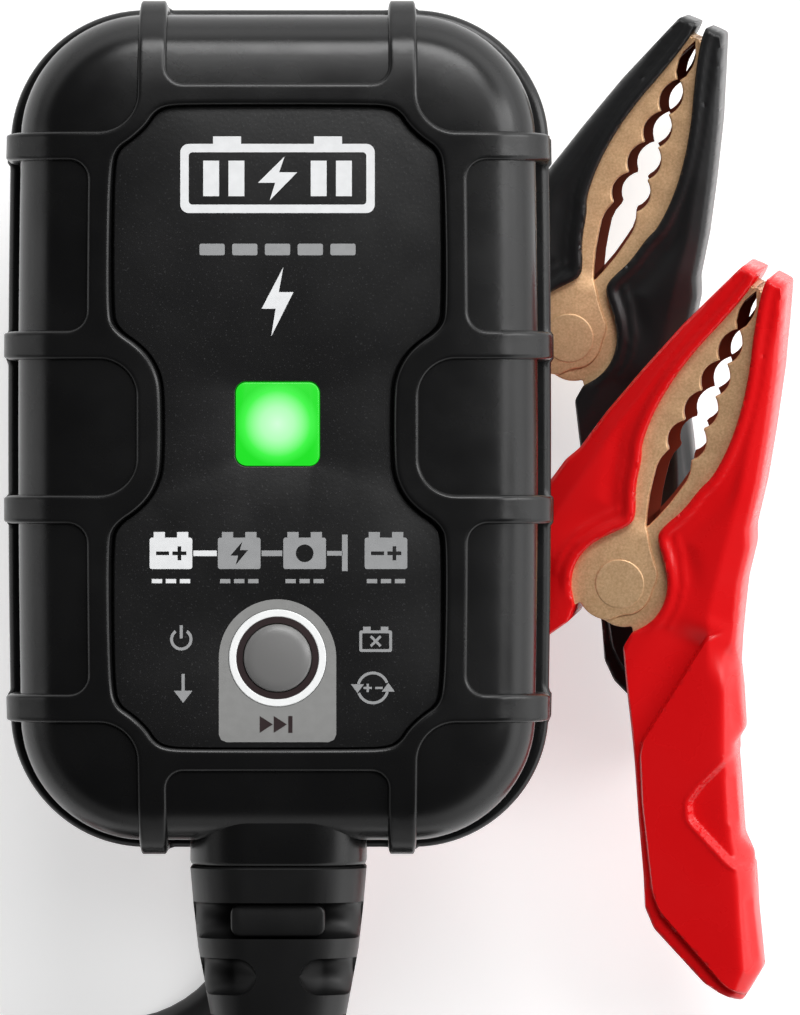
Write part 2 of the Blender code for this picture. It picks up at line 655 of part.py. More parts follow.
def route_points(knots, spacing):
    """Even points along a smooth curve through the knots, with both ends kept."""
    points = [Vector(knot) for knot in knots]
    padded = [2 * points[0] - points[1]] + points + [2 * points[-1] - points[-2]]
    fine = []
    for a, b, c, d in zip(padded, padded[1:], padded[2:], padded[3:]):
        for i in range(20):
            t = i / 20
            bend = (2 * a - 5 * b + 4 * c - d) * t * t + (3 * b - a - 3 * c + d) * t ** 3
            fine.append((2 * b + (c - a) * t + bend) / 2)
    fine.append(points[-1])
    total = sum((q - p).length for p, q in zip(fine, fine[1:]))
    count = max(2, round(total / spacing))
    wanted = [total * i / count for i in range(count + 1)]
    result = [fine[0]]
    walked = 0.0
    for p, q in zip(fine, fine[1:]):
        step = (q - p).length
        while len(result) < count and walked + step >= wanted[len(result)]:
            result.append(p.lerp(q, (wanted[len(result)] - walked) / step))
        walked += step
    return result + [fine[-1]]


def build_cord(name, knots, diameter, spacing, resolution, material):
    curve = bpy.data.curves.new(name, "CURVE")
    curve.dimensions = "3D"
    curve.bevel_depth = diameter / 2 * MM
    curve.bevel_resolution = resolution
    curve.use_fill_caps = True
    points = route_points(knots, spacing)
    spline = curve.splines.new("POLY")
    spline.points.add(len(points) - 1)
    for item, point in zip(spline.points, points):
        item.co = (*(point * MM), 1.0)
    curve.materials.append(material)
    cord = bpy.data.objects.new(name, curve)
    bpy.context.scene.collection.objects.link(cord)
    return cord


def on_floor(x, y, height):
    """A point from body coordinates and its height above the surface."""
    return (x, y + BODY_Y, FLOOR_Z + height)


def build_cords(materials):
    rubber = materials["cable_rubber"]
    coil_top = COIL_ROWS * CABLE_DIAMETER
    reach = COIL_COLUMNS * CABLE_DIAMETER / 2
    rest = coil_top + CABLE_DIAMETER / 2 + GAP
    lie = CABLE_DIAMETER / 2
    cable = [
        (0.0, BOOT_END + BODY_Y - 2 * GAP, CABLE_Z), on_floor(0.2, -89.5, 44.7), on_floor(4.0, -98.5, 39.2),
        on_floor(11.3, -109.5, 29.2), on_floor(18.4, -121.0, 22.0), on_floor(22.0, -134.5, rest),
    ]
    build_cord("dc_cable", cable, CABLE_DIAMETER, 2.2 * CABLE_DIAMETER, 2, rubber)
    build_coil(reach, coil_top, rubber)
    tail = [
        on_floor(-10.0, -163.5, lie), on_floor(-23.0, -161.0, lie), on_floor(-36.0, -153.8, lie),
        on_floor(-46.0, -143.5, lie), on_floor(-50.7, -132.5, lie), on_floor(*SPLITTER_FOOT, lie),
    ]
    build_cord("dc_cable_tail", tail, CABLE_DIAMETER, 2.2 * CABLE_DIAMETER, 2, rubber)
    build_splitter(rubber)
    foot_x, foot_y = SPLITTER_FOOT
    mouth_y = foot_y + SPLITTER_LENGTH + 4 * GAP
    flat = LEAD_DIAMETER / 2
    red = [
        clamp_exit("red"), on_floor(1.9, -44.0, 12.2), on_floor(1.6, -51.0, 8.4), on_floor(0.6, -59.0, 3.6),
        on_floor(-2.2, -67.5, flat), on_floor(-10.5, -73.0, flat), on_floor(-23.0, -74.8, flat),
        on_floor(-36.0, -79.0, flat), on_floor(-45.8, -88.5, flat),
        on_floor(foot_x + LEAD_SPREAD - 0.4, mouth_y, lie),
    ]
    black = [
        clamp_exit("black"), on_floor(-3.7, -20.0, 4.7), on_floor(-5.0, -29.0, 2.7),
        on_floor(-5.2, -42.0, flat),
        on_floor(-4.6, -54.0, flat), on_floor(-6.4, -62.0, flat), on_floor(-14.0, -67.4, flat),
        on_floor(-27.0, -68.8, flat), on_floor(-41.0, -73.0, flat), on_floor(-51.2, -82.0, flat),
        on_floor(-54.6, -91.5, flat), on_floor(foot_x - LEAD_SPREAD, mouth_y, lie),
    ]
    build_cord("red_lead", red, LEAD_DIAMETER, 2.5 * LEAD_DIAMETER, 2, materials["red_lead_pvc"])
    build_cord("black_lead", black, LEAD_DIAMETER, 2.5 * LEAD_DIAMETER, 2, rubber)


def clamp_exit(colour_name):
    """Where a lead leaves the end of the clamp's left handle, just clear of its face."""
    place = CLAMPS[colour_name]
    face = Vector((-(COVER_END[1][0] + COVER_END[2][0]) / 2, (COVER_END[1][1] + COVER_END[2][1]) / 2, 0.0))
    turned = clamp_rotation(place) @ face
    x = place["pivot"][0] + turned.x
    y = place["pivot"][1] + turned.y
    return on_floor(x, y - 2 * GAP, place["height"] + turned.z)


def build_coil(reach, height, material):
    """The outer shape of the coiled cable: a ring lying on the surface."""
    corner = CABLE_DIAMETER / 2
    profile = rounded_rectangle(reach, height / 2, corner, (COIL_RADIUS, height / 2), steps=3)
    steps = 40
    rings = []
    for i in range(steps):
        angle = 2 * math.pi * i / steps
        ring = []
        for radius, z in profile:
            x = COIL_CENTRE[0] + radius * math.cos(angle)
            y = COIL_CENTRE[1] + radius * math.sin(angle)
            ring.append(on_floor(x, y, z))
        rings.append(ring)
    count = len(profile)
    points = [point for ring in rings for point in ring]
    faces = []
    for i in range(steps):
        here = i * count
        there = (i + 1) % steps * count
        for k in range(count):
            after = (k + 1) % count
            faces.append([here + k, there + k, there + after, here + after])
    return add_mesh("dc_cable_coil", points, faces, material)


def build_splitter(material):
    """The moulded joint where the cable divides into the two leads."""
    x, y = SPLITTER_FOOT
    level = CABLE_DIAMETER / 2
    steps = [(0.0, 3.0, 2.7), (6.0, 4.2, 2.7), (9.0, 5.4, 2.7), (SPLITTER_LENGTH - 2.0, 5.4, 2.7)]
    steps += [(SPLITTER_LENGTH, 4.9, 2.4)]
    rings = []
    for along, half_x, half_z in steps:
        section = rounded_rectangle(half_x, half_z, 2.2, steps=4)
        rings.append([on_floor(x + dx, y + 2 * GAP + along, level + dz) for dx, dz in section])
    return loft("cable_splitter", rings, material)


def main():
    clear_scene()
    materials = {
        "shell_plastic": make_material("shell_plastic", (0.022, 0.022, 0.024), 0.42),
        "overlay_film": make_material("overlay_film", (0.035, 0.036, 0.04), 0.5),
        "green_lens": make_material("green_lens", (0.2, 0.85, 0.25), 0.25, alpha=0.9),
        "white_lens": make_material("white_lens", (0.85, 0.86, 0.88), 0.3),
        "button_plastic": make_material("button_plastic", (0.42, 0.43, 0.45), 0.4),
        "boot_rubber": make_material("boot_rubber", (0.02, 0.02, 0.021), 0.6),
        "cable_rubber": make_material("cable_rubber", (0.018, 0.018, 0.019), 0.5),
        "red_lead_pvc": make_material("red_lead_pvc", (0.5, 0.02, 0.02), 0.4),
        "blade_brass": make_material("blade_brass", (0.72, 0.6, 0.36), 0.25, 1.0),
        "steel": make_material("steel", (0.6, 0.6, 0.62), 0.3, 1.0),
        "spring_steel": make_material("spring_steel", (0.35, 0.35, 0.37), 0.35, 1.0),
        "copper": make_material("copper", (0.78, 0.5, 0.32), 0.38, 1.0),
        "red_plastic": make_material("red_plastic", (0.55, 0.012, 0.016), 0.35),
        "black_plastic": make_material("black_plastic", (0.02, 0.02, 0.022), 0.38),
        "board": make_material("board", (0.03, 0.16, 0.07), 0.5),
        "capacitor": make_material("capacitor", (0.03, 0.04, 0.09), 0.4),
        "winding": make_material("winding", (0.75, 0.55, 0.1), 0.5),
        "fuse": make_material("fuse", (0.7, 0.7, 0.68), 0.3),
        "aluminium": make_material("aluminium", (0.7, 0.7, 0.72), 0.35, 1.0),
        "led": make_material("led", (0.9, 0.95, 0.85), 0.3),
        "switch": make_material("switch", (0.05, 0.05, 0.05), 0.45),
    }
    body = add_empty("body_centre", (0.0, BODY_Y, 0.0))
    build_front_housing(materials["shell_plastic"], body)
    build_rear_housing(materials["shell_plastic"], body)
    build_gasket(materials["boot_rubber"], body)
    build_overlay(materials["overlay_film"], body)
    build_lens(materials["green_lens"], body)
    build_light_ring(materials["white_lens"], body)
    build_button(materials["button_plastic"], body)
    build_board(materials["board"], body)
    build_board_parts(materials, body)
    for number, place in enumerate(screw_places(), 1):
        build_screw(f"housing_screw_{number}", place, materials["steel"], body)
    build_strain_relief(materials["boot_rubber"], body)
    build_outlet_boss(materials["shell_plastic"])
    build_blade("plug_blade_left", -1, materials["blade_brass"])
    build_blade("plug_blade_right", 1, materials["blade_brass"])
    build_clamp("black", materials)
    build_clamp("red", materials)
    build_cords(materials)


main()
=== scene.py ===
"""Looks of the plug-in battery charger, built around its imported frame.

Shapes are worked out in millimetres in the body's own coordinates, where x = y = 0 is the middle of the
case, and are placed in the frame's metres when each mesh is made.
"""

import json
import math

import bmesh
import bpy
import numpy as np
from mathutils import Matrix, Vector
from mathutils.geometry import delaunay_2d_cdt


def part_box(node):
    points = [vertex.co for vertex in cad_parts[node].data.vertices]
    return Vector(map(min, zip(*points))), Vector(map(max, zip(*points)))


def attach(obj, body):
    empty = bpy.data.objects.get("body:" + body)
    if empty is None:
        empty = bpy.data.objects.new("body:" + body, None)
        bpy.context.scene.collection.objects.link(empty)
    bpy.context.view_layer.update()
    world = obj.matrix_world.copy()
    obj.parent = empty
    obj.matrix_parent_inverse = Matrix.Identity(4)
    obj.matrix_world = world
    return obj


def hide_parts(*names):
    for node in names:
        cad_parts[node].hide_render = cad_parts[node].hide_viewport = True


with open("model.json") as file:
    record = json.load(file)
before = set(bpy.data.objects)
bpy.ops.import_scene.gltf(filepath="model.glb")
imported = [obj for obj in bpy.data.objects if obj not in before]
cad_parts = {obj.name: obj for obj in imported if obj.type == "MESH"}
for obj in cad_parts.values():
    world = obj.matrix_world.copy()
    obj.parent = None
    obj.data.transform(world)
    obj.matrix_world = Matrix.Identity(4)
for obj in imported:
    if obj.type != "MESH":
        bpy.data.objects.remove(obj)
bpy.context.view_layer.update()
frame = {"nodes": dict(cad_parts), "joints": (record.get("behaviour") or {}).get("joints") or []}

MM = 0.001


def node_box(name):
    """A node's lowest and highest corners, in millimetres."""
    low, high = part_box(name)
    return np.array(low) / MM, np.array(high) / MM


REAR_LOW, REAR_HIGH = node_box("rear_housing")
REAR_HALF = (29.2, 45.2)
BODY_Y = REAR_HIGH[1] - REAR_HALF[1]
FLOOR_Z = node_box("plug_blade_left")[0][2]
FRONT_Z = node_box("front_housing")[1][2]
REAR_Z = REAR_LOW[2]
SEAM_LOW = REAR_Z + 14.7
SEAM_HIGH = SEAM_LOW + 1.5
RECESS_FLOOR = FRONT_Z - 2.8
OVERLAY_TOP = FRONT_Z - 1.3
CABLE_Z = REAR_Z + 21.0

CHARGER = "charger"


# Meshes

def new_object(name, data):
    item = bpy.data.objects.new(name, data)
    bpy.context.scene.collection.objects.link(item)
    return item


def solid_data(name, points, faces, weld=True):
    """Mesh data from points in millimetres, with its faces turned outwards."""
    mesh = bpy.data.meshes.new(name)
    mesh.from_pydata((points * MM).tolist(), [], [list(map(int, face)) for face in faces])
    shape = bmesh.new()
    shape.from_mesh(mesh)
    if weld:
        bmesh.ops.remove_doubles(shape, verts=shape.verts, dist=2e-6)
        bmesh.ops.dissolve_degenerate(shape, edges=shape.edges, dist=1e-7)
    bmesh.ops.recalc_face_normals(shape, faces=shape.faces)
    if shape.calc_volume(signed=True) < 0:
        bmesh.ops.reverse_faces(shape, faces=shape.faces)
    shape.to_mesh(mesh)
    shape.free()
    return mesh


def make_mesh(name, points, faces, material, body=CHARGER, slot=None, replaces=(), shift=(0.0, BODY_Y, 0.0),
              weld=True, sharp=40):
    """A mesh from body coordinates in millimetres, riding on a CAD body."""
    mesh = solid_data(name, np.asarray(points, float) + shift, faces, weld)
    mesh.shade_smooth()
    mesh.set_sharp_from_angle(angle=math.radians(sharp))
    mesh.materials.append(material)
    item = new_object(name, mesh)
    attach(item, body)
    if replaces:
        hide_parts(*replaces)
    return item


def strip(low, high):
    """Quads between two closed chains of vertex numbers."""
    count = len(low)
    return [[low[i], low[(i + 1) % count], high[(i + 1) % count], high[i]] for i in range(count)]


def loft(rings, closed=False):
    """Points and faces through rings of equal length: capped at both ends, or joined end to end."""
    count = len(rings[0])
    chains = [range(level * count, (level + 1) * count) for level in range(len(rings))]
    faces = [face for low, high in zip(chains, chains[1:]) for face in strip(low, high)]
    faces += strip(chains[-1], chains[0]) if closed else [list(chains[0]), list(chains[-1])]
    return np.vstack(rings), faces


def at_height(ring, z):
    return np.column_stack([ring, np.full(len(ring), z)])


def inside_loops(points, loops):
    """Which points lie inside the loops, by the even-odd rule."""
    hits = np.zeros(len(points), int)
    x, y = points[:, 0], points[:, 1]
    for loop in loops:
        a = np.asarray(loop)
        b = np.roll(a, -1, axis=0)
        for (x0, y0), (x1, y1) in zip(a, b):
            if y0 == y1:
                continue
            crosses = (y0 > y) != (y1 > y)
            at = x0 + (y - y0) / (y1 - y0) * (x1 - x0)
            hits += crosses & (x < at)
    return hits % 2 == 1


def fill_region(loops, lines=(), extra=None):
    """Triangles over the area inside the loops, with lines as edges and extra points inside it."""
    coords, edges = [], []
    for chain, closed in [(loop, True) for loop in loops] + [(line, False) for line in lines]:
        start = len(coords)
        coords += [Vector((float(x), float(y))) for x, y in chain]
        edges += [(start + i, start + i + 1) for i in range(len(chain) - 1)]
        if closed:
            edges.append((start + len(chain) - 1, start))
    if extra is not None and len(extra):
        coords += [Vector((float(x), float(y))) for x, y in extra]
    verts, _, faces, _, _, _ = delaunay_2d_cdt(coords, edges, [], 0, 1e-5)
    flat = np.array([(v[0], v[1]) for v in verts])
    tris = np.array([f for f in faces if len(f) == 3])
    keep = inside_loops(flat[tris].mean(axis=1), loops)
    return flat, tris[keep]


class Solid:
    """Points and faces gathered part by part."""

    def __init__(self):
        self.stock, self.faces, self.total = [], [], 0

    def add(self, points, faces=()):
        """Add points, and faces numbered from the first of them."""
        start = self.total
        self.stock.append(np.asarray(points, float))
        self.total += len(points)
        self.faces += [[start + k for k in face] for face in faces]
        return range(start, self.total)

    def walls(self, rings, previous=None):
        """Add rings of equal length, each joined to the one before it."""
        for ring in rings:
            here = self.add(ring)
            if previous is not None:
                self.faces += strip(previous, here)
            previous = here

    def cap(self, loops, z):
        plan, triangles = fill_region(loops)
        self.add(at_height(plan, z), triangles)

    def parts(self):
        return np.vstack(self.stock), self.faces


def grid_points(low, high, step):
    """Staggered grid points over a rectangle."""
    rows = []
    height = step * 0.866
    for row, y in enumerate(np.arange(low[1], high[1], height)):
        xs = np.arange(low[0] + (row % 2) * step / 2, high[0], step)
        rows.append(np.column_stack([xs, np.full(len(xs), y)]))
    return np.vstack(rows)


def chaikin(points, rounds=3):
    """Cut the corners of a closed outline until it is smooth."""
    ring = np.asarray(points, float)
    for _ in range(rounds):
        after = np.roll(ring, -1, axis=0)
        ring = np.stack([0.75 * ring + 0.25 * after, 0.25 * ring + 0.75 * after], axis=1).reshape(-1, 2)
    return ring


def resample(points, spacing, closed=True):
    """Even points along an outline."""
    ring = np.asarray(points, float)
    if closed:
        ring = np.vstack([ring, ring[:1]])
    steps = np.linalg.norm(np.diff(ring, axis=0), axis=1)
    along = np.concatenate([[0.0], np.cumsum(steps)])
    count = max(3, int(round(along[-1] / spacing)))
    wanted = np.linspace(0.0, along[-1], count + 1)
    result = np.column_stack([np.interp(wanted, along, ring[:, k]) for k in range(ring.shape[1])])
    return result[:-1] if closed else result


def outline_normals(ring):
    """Outward normals of a counter-clockwise outline."""
    tangent = np.roll(ring, -1, axis=0) - np.roll(ring, 1, axis=0)
    normal = np.column_stack([tangent[:, 1], -tangent[:, 0]])
    return normal / np.linalg.norm(normal, axis=1, keepdims=True)


def distance_to(points, chain, closed=True):
    """Distance from each point to a polyline."""
    a = np.asarray(chain, float)
    b = np.roll(a, -1, axis=0)
    if not closed:
        a, b = a[:-1], b[:-1]
    best = np.full(len(points), np.inf)
    for (ax, ay), (bx, by) in zip(a, b):
        dx, dy = bx - ax, by - ay
        length = dx * dx + dy * dy
        if length < 1e-18:
            continue
        t = np.clip(((points[:, 0] - ax) * dx + (points[:, 1] - ay) * dy) / length, 0.0, 1.0)
        gap = np.hypot(points[:, 0] - ax - t * dx, points[:, 1] - ay - t * dy)
        np.minimum(best, gap, out=best)
    return best


def arc(centre, radius, start, end, steps):
    angles = np.radians(np.linspace(start, end, steps + 1))
    return np.column_stack([centre[0] + radius * np.cos(angles), centre[1] + radius * np.sin(angles)])


def circle(centre, radius, steps=64):
    return arc(centre, radius, 0.0, 360.0, steps)[:-1]


def rounded_rectangle(half_x, half_y, radius, centre=(0.0, 0.0), steps=10):
    corners = []
    for quarter, (sx, sy) in enumerate(((1, 1), (-1, 1), (-1, -1), (1, -1))):
        middle = (centre[0] + sx * (half_x - radius), centre[1] + sy * (half_y - radius))
        corners.append(arc(middle, radius, 90 * quarter, 90 * quarter + 90, steps))
    return np.vstack(corners)


def smooth_step(value, low, high):
    t = np.clip((value - low) / (high - low), 0.0, 1.0)
    return t * t * (3 - 2 * t)


def quarter_round(gap, radius):
    """How far a rounded edge has fallen away: from 1 at the edge itself to 0 at its radius and beyond."""
    share = np.clip(gap / radius, 0.0, 1.0)
    return 1 - np.sqrt(np.maximum(1 - (1 - share) ** 2, 0.0))


# Materials

class Nodes:
    """A short way to write the node tree of a material or a world."""

    def __init__(self, owner):
        owner.use_nodes = True
        self.owner = owner
        self.tree = owner.node_tree
        self.shader = self.tree.nodes.get("Principled BSDF") or self.tree.nodes["Background"]

    def add(self, kind, source=None, target=0, **settings):
        """A node, with a source linked to one of its inputs."""
        node = self.tree.nodes.new(kind)
        for key, value in settings.items():
            setattr(node, key, value)
        if source:
            self.tree.links.new(source, node.inputs[target])
        return node

    def link(self, source, name):
        """Link a value to one of the shader's inputs."""
        self.tree.links.new(source, self.shader.inputs[name])

    def set(self, **values):
        for key, value in values.items():
            self.shader.inputs[key.replace("_", " ")].default_value = value

    def coordinates(self, kind="Object"):
        return self.add("ShaderNodeTexCoord").outputs[kind]

    def noise(self, scale, detail=2.0, roughness=0.5):
        node = self.add("ShaderNodeTexNoise", self.coordinates(), "Vector")
        for key, number in (("Scale", scale), ("Detail", detail), ("Roughness", roughness)):
            node.inputs[key].default_value = number
        return node.outputs["Fac"]

    def ramp(self, value, stops):
        node = self.add("ShaderNodeValToRGB", value, "Fac")
        elements = node.color_ramp.elements
        while len(elements) < len(stops):
            elements.new(0.5)
        for element, (place, colour) in zip(elements, stops):
            element.position = place
            element.color = (*colour, 1.0)
        return node.outputs["Color"]

    def remap(self, value, low, high, out_low, out_high):
        node = self.add("ShaderNodeMapRange", value, "Value")
        for key, number in zip(("From Min", "From Max", "To Min", "To Max"), (low, high, out_low, out_high)):
            node.inputs[key].default_value = number
        return node.outputs["Result"]

    def bump(self, height, strength, distance):
        node = self.add("ShaderNodeBump", height, "Height")
        node.inputs["Strength"].default_value = strength
        node.inputs["Distance"].default_value = distance
        self.link(node.outputs["Normal"], "Normal")


def grained(name, dark, light, roughness, grain=2600.0, bump=0.25, speckle=None, cavity_shade_distance=0.0, **settings):
    """Moulded plastic or rubber: a fine grain, uneven gloss and slight tone changes, with painted shade in its
    cavities, where occlusion lowers the reflection.
    """
    nodes = Nodes(bpy.data.materials.new(name))
    nodes.set(**settings)
    colour = nodes.ramp(nodes.noise(55.0, 3.0), [(0.3, dark), (0.7, light)])
    if speckle:
        mask = nodes.remap(nodes.noise(5200.0, 1.0), 0.66, 0.74, 0.0, 1.0)
        mix = nodes.add("ShaderNodeMix", mask, "Factor", data_type="RGBA")
        nodes.tree.links.new(colour, mix.inputs["A"])
        mix.inputs["B"].default_value = (*speckle, 1.0)
        colour = mix.outputs["Result"]
    nodes.link(colour, "Base Color")
    nodes.link(nodes.remap(nodes.noise(140.0, 4.0), 0.3, 0.7, roughness - 0.04, roughness + 0.04), "Roughness")
    if cavity_shade_distance:
        # Painted shade: occlusion lowers the reflection, so grooves and crevices come out darker.
        shade = nodes.add("ShaderNodeAmbientOcclusion", samples=8)
        shade.inputs["Distance"].default_value = cavity_shade_distance
        nodes.link(nodes.remap(shade.outputs["AO"], 0.4, 0.95, 0.02, 0.42), "Specular IOR Level")
    nodes.bump(nodes.noise(grain, 2.0), bump, 0.00004)
    return nodes.owner


def metal(name, dark, light, roughness, grain=1800.0, bump=0.3, metallic=1.0):
    """Metal with a cast or brushed surface; a coated one is less than fully metallic."""
    nodes = Nodes(bpy.data.materials.new(name))
    nodes.set(Metallic=metallic)
    nodes.link(nodes.ramp(nodes.noise(3800.0, 3.0, 0.6), [(0.32, dark), (0.68, light)]), "Base Color")
    nodes.link(nodes.remap(nodes.noise(900.0, 4.0), 0.3, 0.7, roughness - 0.06, roughness + 0.08), "Roughness")
    nodes.bump(nodes.noise(grain, 5.0, 0.7), bump, 0.00005)
    return nodes.owner


def lit_lens(centre, half):
    """The status window: bright green at its edges and nearly white in the middle, as a lit diffuser is."""
    nodes = Nodes(bpy.data.materials.new("green_lens_lit"))
    nodes.set(Roughness=0.3, Base_Color=(0.004, 0.05, 0.006, 1.0), Emission_Strength=1.0)
    shift = nodes.add("ShaderNodeMapping", nodes.coordinates(), "Vector")
    shift.inputs["Location"].default_value = (-centre[0] / half, -centre[1] / half, 0.0)
    shift.inputs["Scale"].default_value = (1 / half, 1 / half, 0.0)
    length = nodes.add("ShaderNodeVectorMath", shift.outputs["Vector"], operation="LENGTH")
    glow = nodes.ramp(length.outputs["Value"], [
        (0.0, (0.66, 1.0, 0.7)), (0.4, (0.45, 1.0, 0.48)), (0.8, (0.05, 0.88, 0.06)),
        (1.0, (0.012, 0.72, 0.016)),
    ])
    nodes.link(glow, "Emission Color")
    return nodes.owner


def printed(name, colour, glow=0.0):
    """Screen-printed ink."""
    nodes = Nodes(bpy.data.materials.new(name))
    nodes.set(Emission_Strength=glow, Emission_Color=(*colour, 1.0))
    shade = tuple(0.94 * part for part in colour)
    nodes.link(nodes.ramp(nodes.noise(900.0, 3.0), [(0.35, shade), (0.65, colour)]), "Base Color")
    nodes.link(nodes.remap(nodes.noise(1500.0), 0.3, 0.7, 0.42, 0.55), "Roughness")
    return nodes.owner


def make_materials():
    return {
        "shell": grained("moulded_shell", (0.0048, 0.0048, 0.005), (0.0062, 0.0062, 0.0064), 0.27, bump=0.1,
                         Specular_IOR_Level=0.42),
        "overlay": grained("overlay_film", (0.0085, 0.0085, 0.0088), (0.0105, 0.0105, 0.0109), 0.34,
                           bump=0.25, speckle=(0.035, 0.035, 0.036), Specular_IOR_Level=0.42),
        # The boot rubber has painted shade in its grooves, through its cavity setting.
        "boot": grained("boot_rubber", (0.005, 0.005, 0.0052), (0.0065, 0.0065, 0.0067), 0.38, bump=0.12,
                        cavity_shade_distance=0.005, Specular_IOR_Level=0.42),
        "cable": grained("cable_rubber", (0.0085, 0.0085, 0.009), (0.012, 0.012, 0.0125), 0.48, bump=0.2),
        "red_lead": grained("red_lead_pvc", (0.42, 0.012, 0.014), (0.5, 0.02, 0.022), 0.42, bump=0.2),
        "red": grained("red_clamp_plastic", (0.74, 0.005, 0.007), (0.78, 0.0065, 0.0085), 0.28, bump=0.04,
                       Specular_IOR_Level=0.4),
        "black": grained("black_clamp_plastic", (0.0095, 0.0095, 0.01), (0.0125, 0.0125, 0.013), 0.34, bump=0.06,
                         Specular_IOR_Level=0.42),
        "copper": metal("copper_jaw", (0.72, 0.43, 0.215), (0.92, 0.6, 0.34), 0.42, grain=4200.0, metallic=0.4),
        # Dark red-brown painted shade for the inside of the jaw channels.
        "jaw_painted_shade": grained("jaw_painted_shade", (0.22, 0.035, 0.015), (0.32, 0.055, 0.022), 0.5, bump=0.3),
        "rivet": metal("copper_rivet", (0.72, 0.44, 0.225), (0.9, 0.6, 0.345), 0.42, grain=4200.0, metallic=0.4),
        "brass": metal("blade_brass_polished", (0.62, 0.5, 0.28), (0.78, 0.66, 0.42), 0.24, bump=0.1),
        "steel": metal("screw_steel", (0.42, 0.42, 0.44), (0.62, 0.62, 0.64), 0.32, bump=0.2),
        "spring": metal("spring_steel_wire", (0.26, 0.26, 0.28), (0.42, 0.42, 0.44), 0.35, bump=0.2),
        "aluminium": metal("heat_sink_aluminium", (0.6, 0.6, 0.62), (0.78, 0.78, 0.8), 0.36),
        "white_print": printed("white_print", (0.84, 0.85, 0.86)),
        "grey_print": printed("grey_print", (0.33, 0.335, 0.34)),
        "mode_plate": printed("mode_plate_print", (0.27, 0.27, 0.265)),
        "dark_collar": grained("dark_collar", (0.022, 0.012, 0.013), (0.03, 0.017, 0.018), 0.4, bump=0.15),
        "button": grained("button_plastic_satin", (0.17, 0.168, 0.166), (0.19, 0.188, 0.186), 0.33, bump=0.12),
        "white_ring": printed("light_ring_white", (0.85, 0.86, 0.86), 0.12),
        "board": grained("board_green", (0.02, 0.11, 0.045), (0.03, 0.15, 0.06), 0.45),
        "winding": grained("winding_tape", (0.6, 0.42, 0.06), (0.72, 0.54, 0.1), 0.45, grain=900.0),
        "capacitor": grained("capacitor_sleeve", (0.02, 0.025, 0.06), (0.03, 0.038, 0.08), 0.35),
        "fuse": grained("fuse_ceramic", (0.6, 0.6, 0.56), (0.7, 0.7, 0.66), 0.35),
        "led": grained("led_body", (0.7, 0.75, 0.62), (0.85, 0.88, 0.75), 0.35),
        "switch": grained("switch_body", (0.03, 0.03, 0.032), (0.045, 0.045, 0.047), 0.45),
        "floor": grained("pale_floor", (0.78, 0.78, 0.78), (0.8, 0.8, 0.8), 0.8, grain=400.0, bump=0.02,
                         Specular_IOR_Level=0.1, Emission_Color=(1.0, 1.0, 1.0, 1.0), Emission_Strength=0.5),
    }


# Case

CORE_HALF = np.array((23.3, 40.3))
CORE_RADIUS = 9.0
EDGE_RADIUS = 5.0
CROWN = 0.9
CROWN_REACH = 9.0
EDGE_START = math.atan(2 * CROWN / CROWN_REACH)
EDGE_LENGTH = EDGE_RADIUS * (math.pi / 2 - EDGE_START)
EDGE_REACH = EDGE_RADIUS * (1 - math.sin(EDGE_START))
PANEL_Z = FRONT_Z - 0.5
WALL_TOP = PANEL_Z - CROWN - EDGE_RADIUS * math.cos(EDGE_START)
UNROLLED = EDGE_LENGTH + WALL_TOP - SEAM_HIGH
BOW = 0.6
BAND_TOP_HEIGHT = 0.5
BAND_SIDE_HEIGHT = 1.55
BAND_ROUND = 0.38
WALL = 2.0
CAVITY_TOP = FRONT_Z - 4.8
RECESS_ROUND = 0.5
RECESS_DROP = 0.32
LENS_CENTRE = (0.0, 0.35)
LENS_HALF = 4.45
BUTTON_CENTRE = (0.0, -24.7)
BUTTON_RADIUS = 3.62
RING_INNER = 4.43
RING_OUTER = 5.2


def recess_outline():
    """The display recess: waisted at mid height and chamfered by an S curve at each corner."""
    quarter = np.array([
        (12.2, 3.8), (12.6, 5.8), (13.6, 7.7), (15.1, 9.1), (16.2, 9.8), (17.2, 10.8), (17.6, 12.0),
        (17.65, 20.0), (17.5, 28.2), (16.9, 29.9), (15.5, 30.8), (13.9, 32.3), (13.2, 33.5), (12.0, 34.3),
        (9.0, 34.45),
    ])
    quarters = [quarter, quarter[::-1] * (-1, 1), -quarter, quarter[::-1] * (1, -1)]
    return resample(chaikin(np.vstack(quarters)), 0.45)


RECESS = recess_outline()


def grown(ring, amount):
    return ring + outline_normals(ring) * amount


def panels():
    """Sunk panels on the unrolled plan: centre, half size and corner radius of each."""
    areas = []
    for sx in (-1, 1):
        areas.append((sx * 14.8, sx * 45.0, -7.25, 7.25, 3.9))
        for sy in (-1, 1):
            areas.append((sx * 20.0, sx * 45.0, sy * 10.35, sy * 28.55, 2.0))
            areas.append((sx * 14.9, sx * 45.0, sy * 31.65, sy * 62.0, 4.0))
    for sy in (-1, 1):
        areas.append((-11.8, 11.8, sy * 36.8, sy * 62.0, 1.8))
    result = []
    for x0, x1, y0, y1, radius in areas:
        centre = np.array(((x0 + x1) / 2, (y0 + y1) / 2))
        half = np.array((abs(x1 - x0) / 2, abs(y1 - y0) / 2))
        result.append((centre, half, radius))
    return result


def panel_distance(flat):
    """Distance into the bands from the nearest panel's edge; negative inside a panel."""
    best = np.full(len(flat), np.inf)
    for centre, half, radius in panels():
        q = np.abs(flat - centre) - (half - radius)
        gap = np.minimum(q.max(axis=1), 0.0) + np.linalg.norm(np.maximum(q, 0.0), axis=1) - radius
        best = np.minimum(best, gap)
    return best


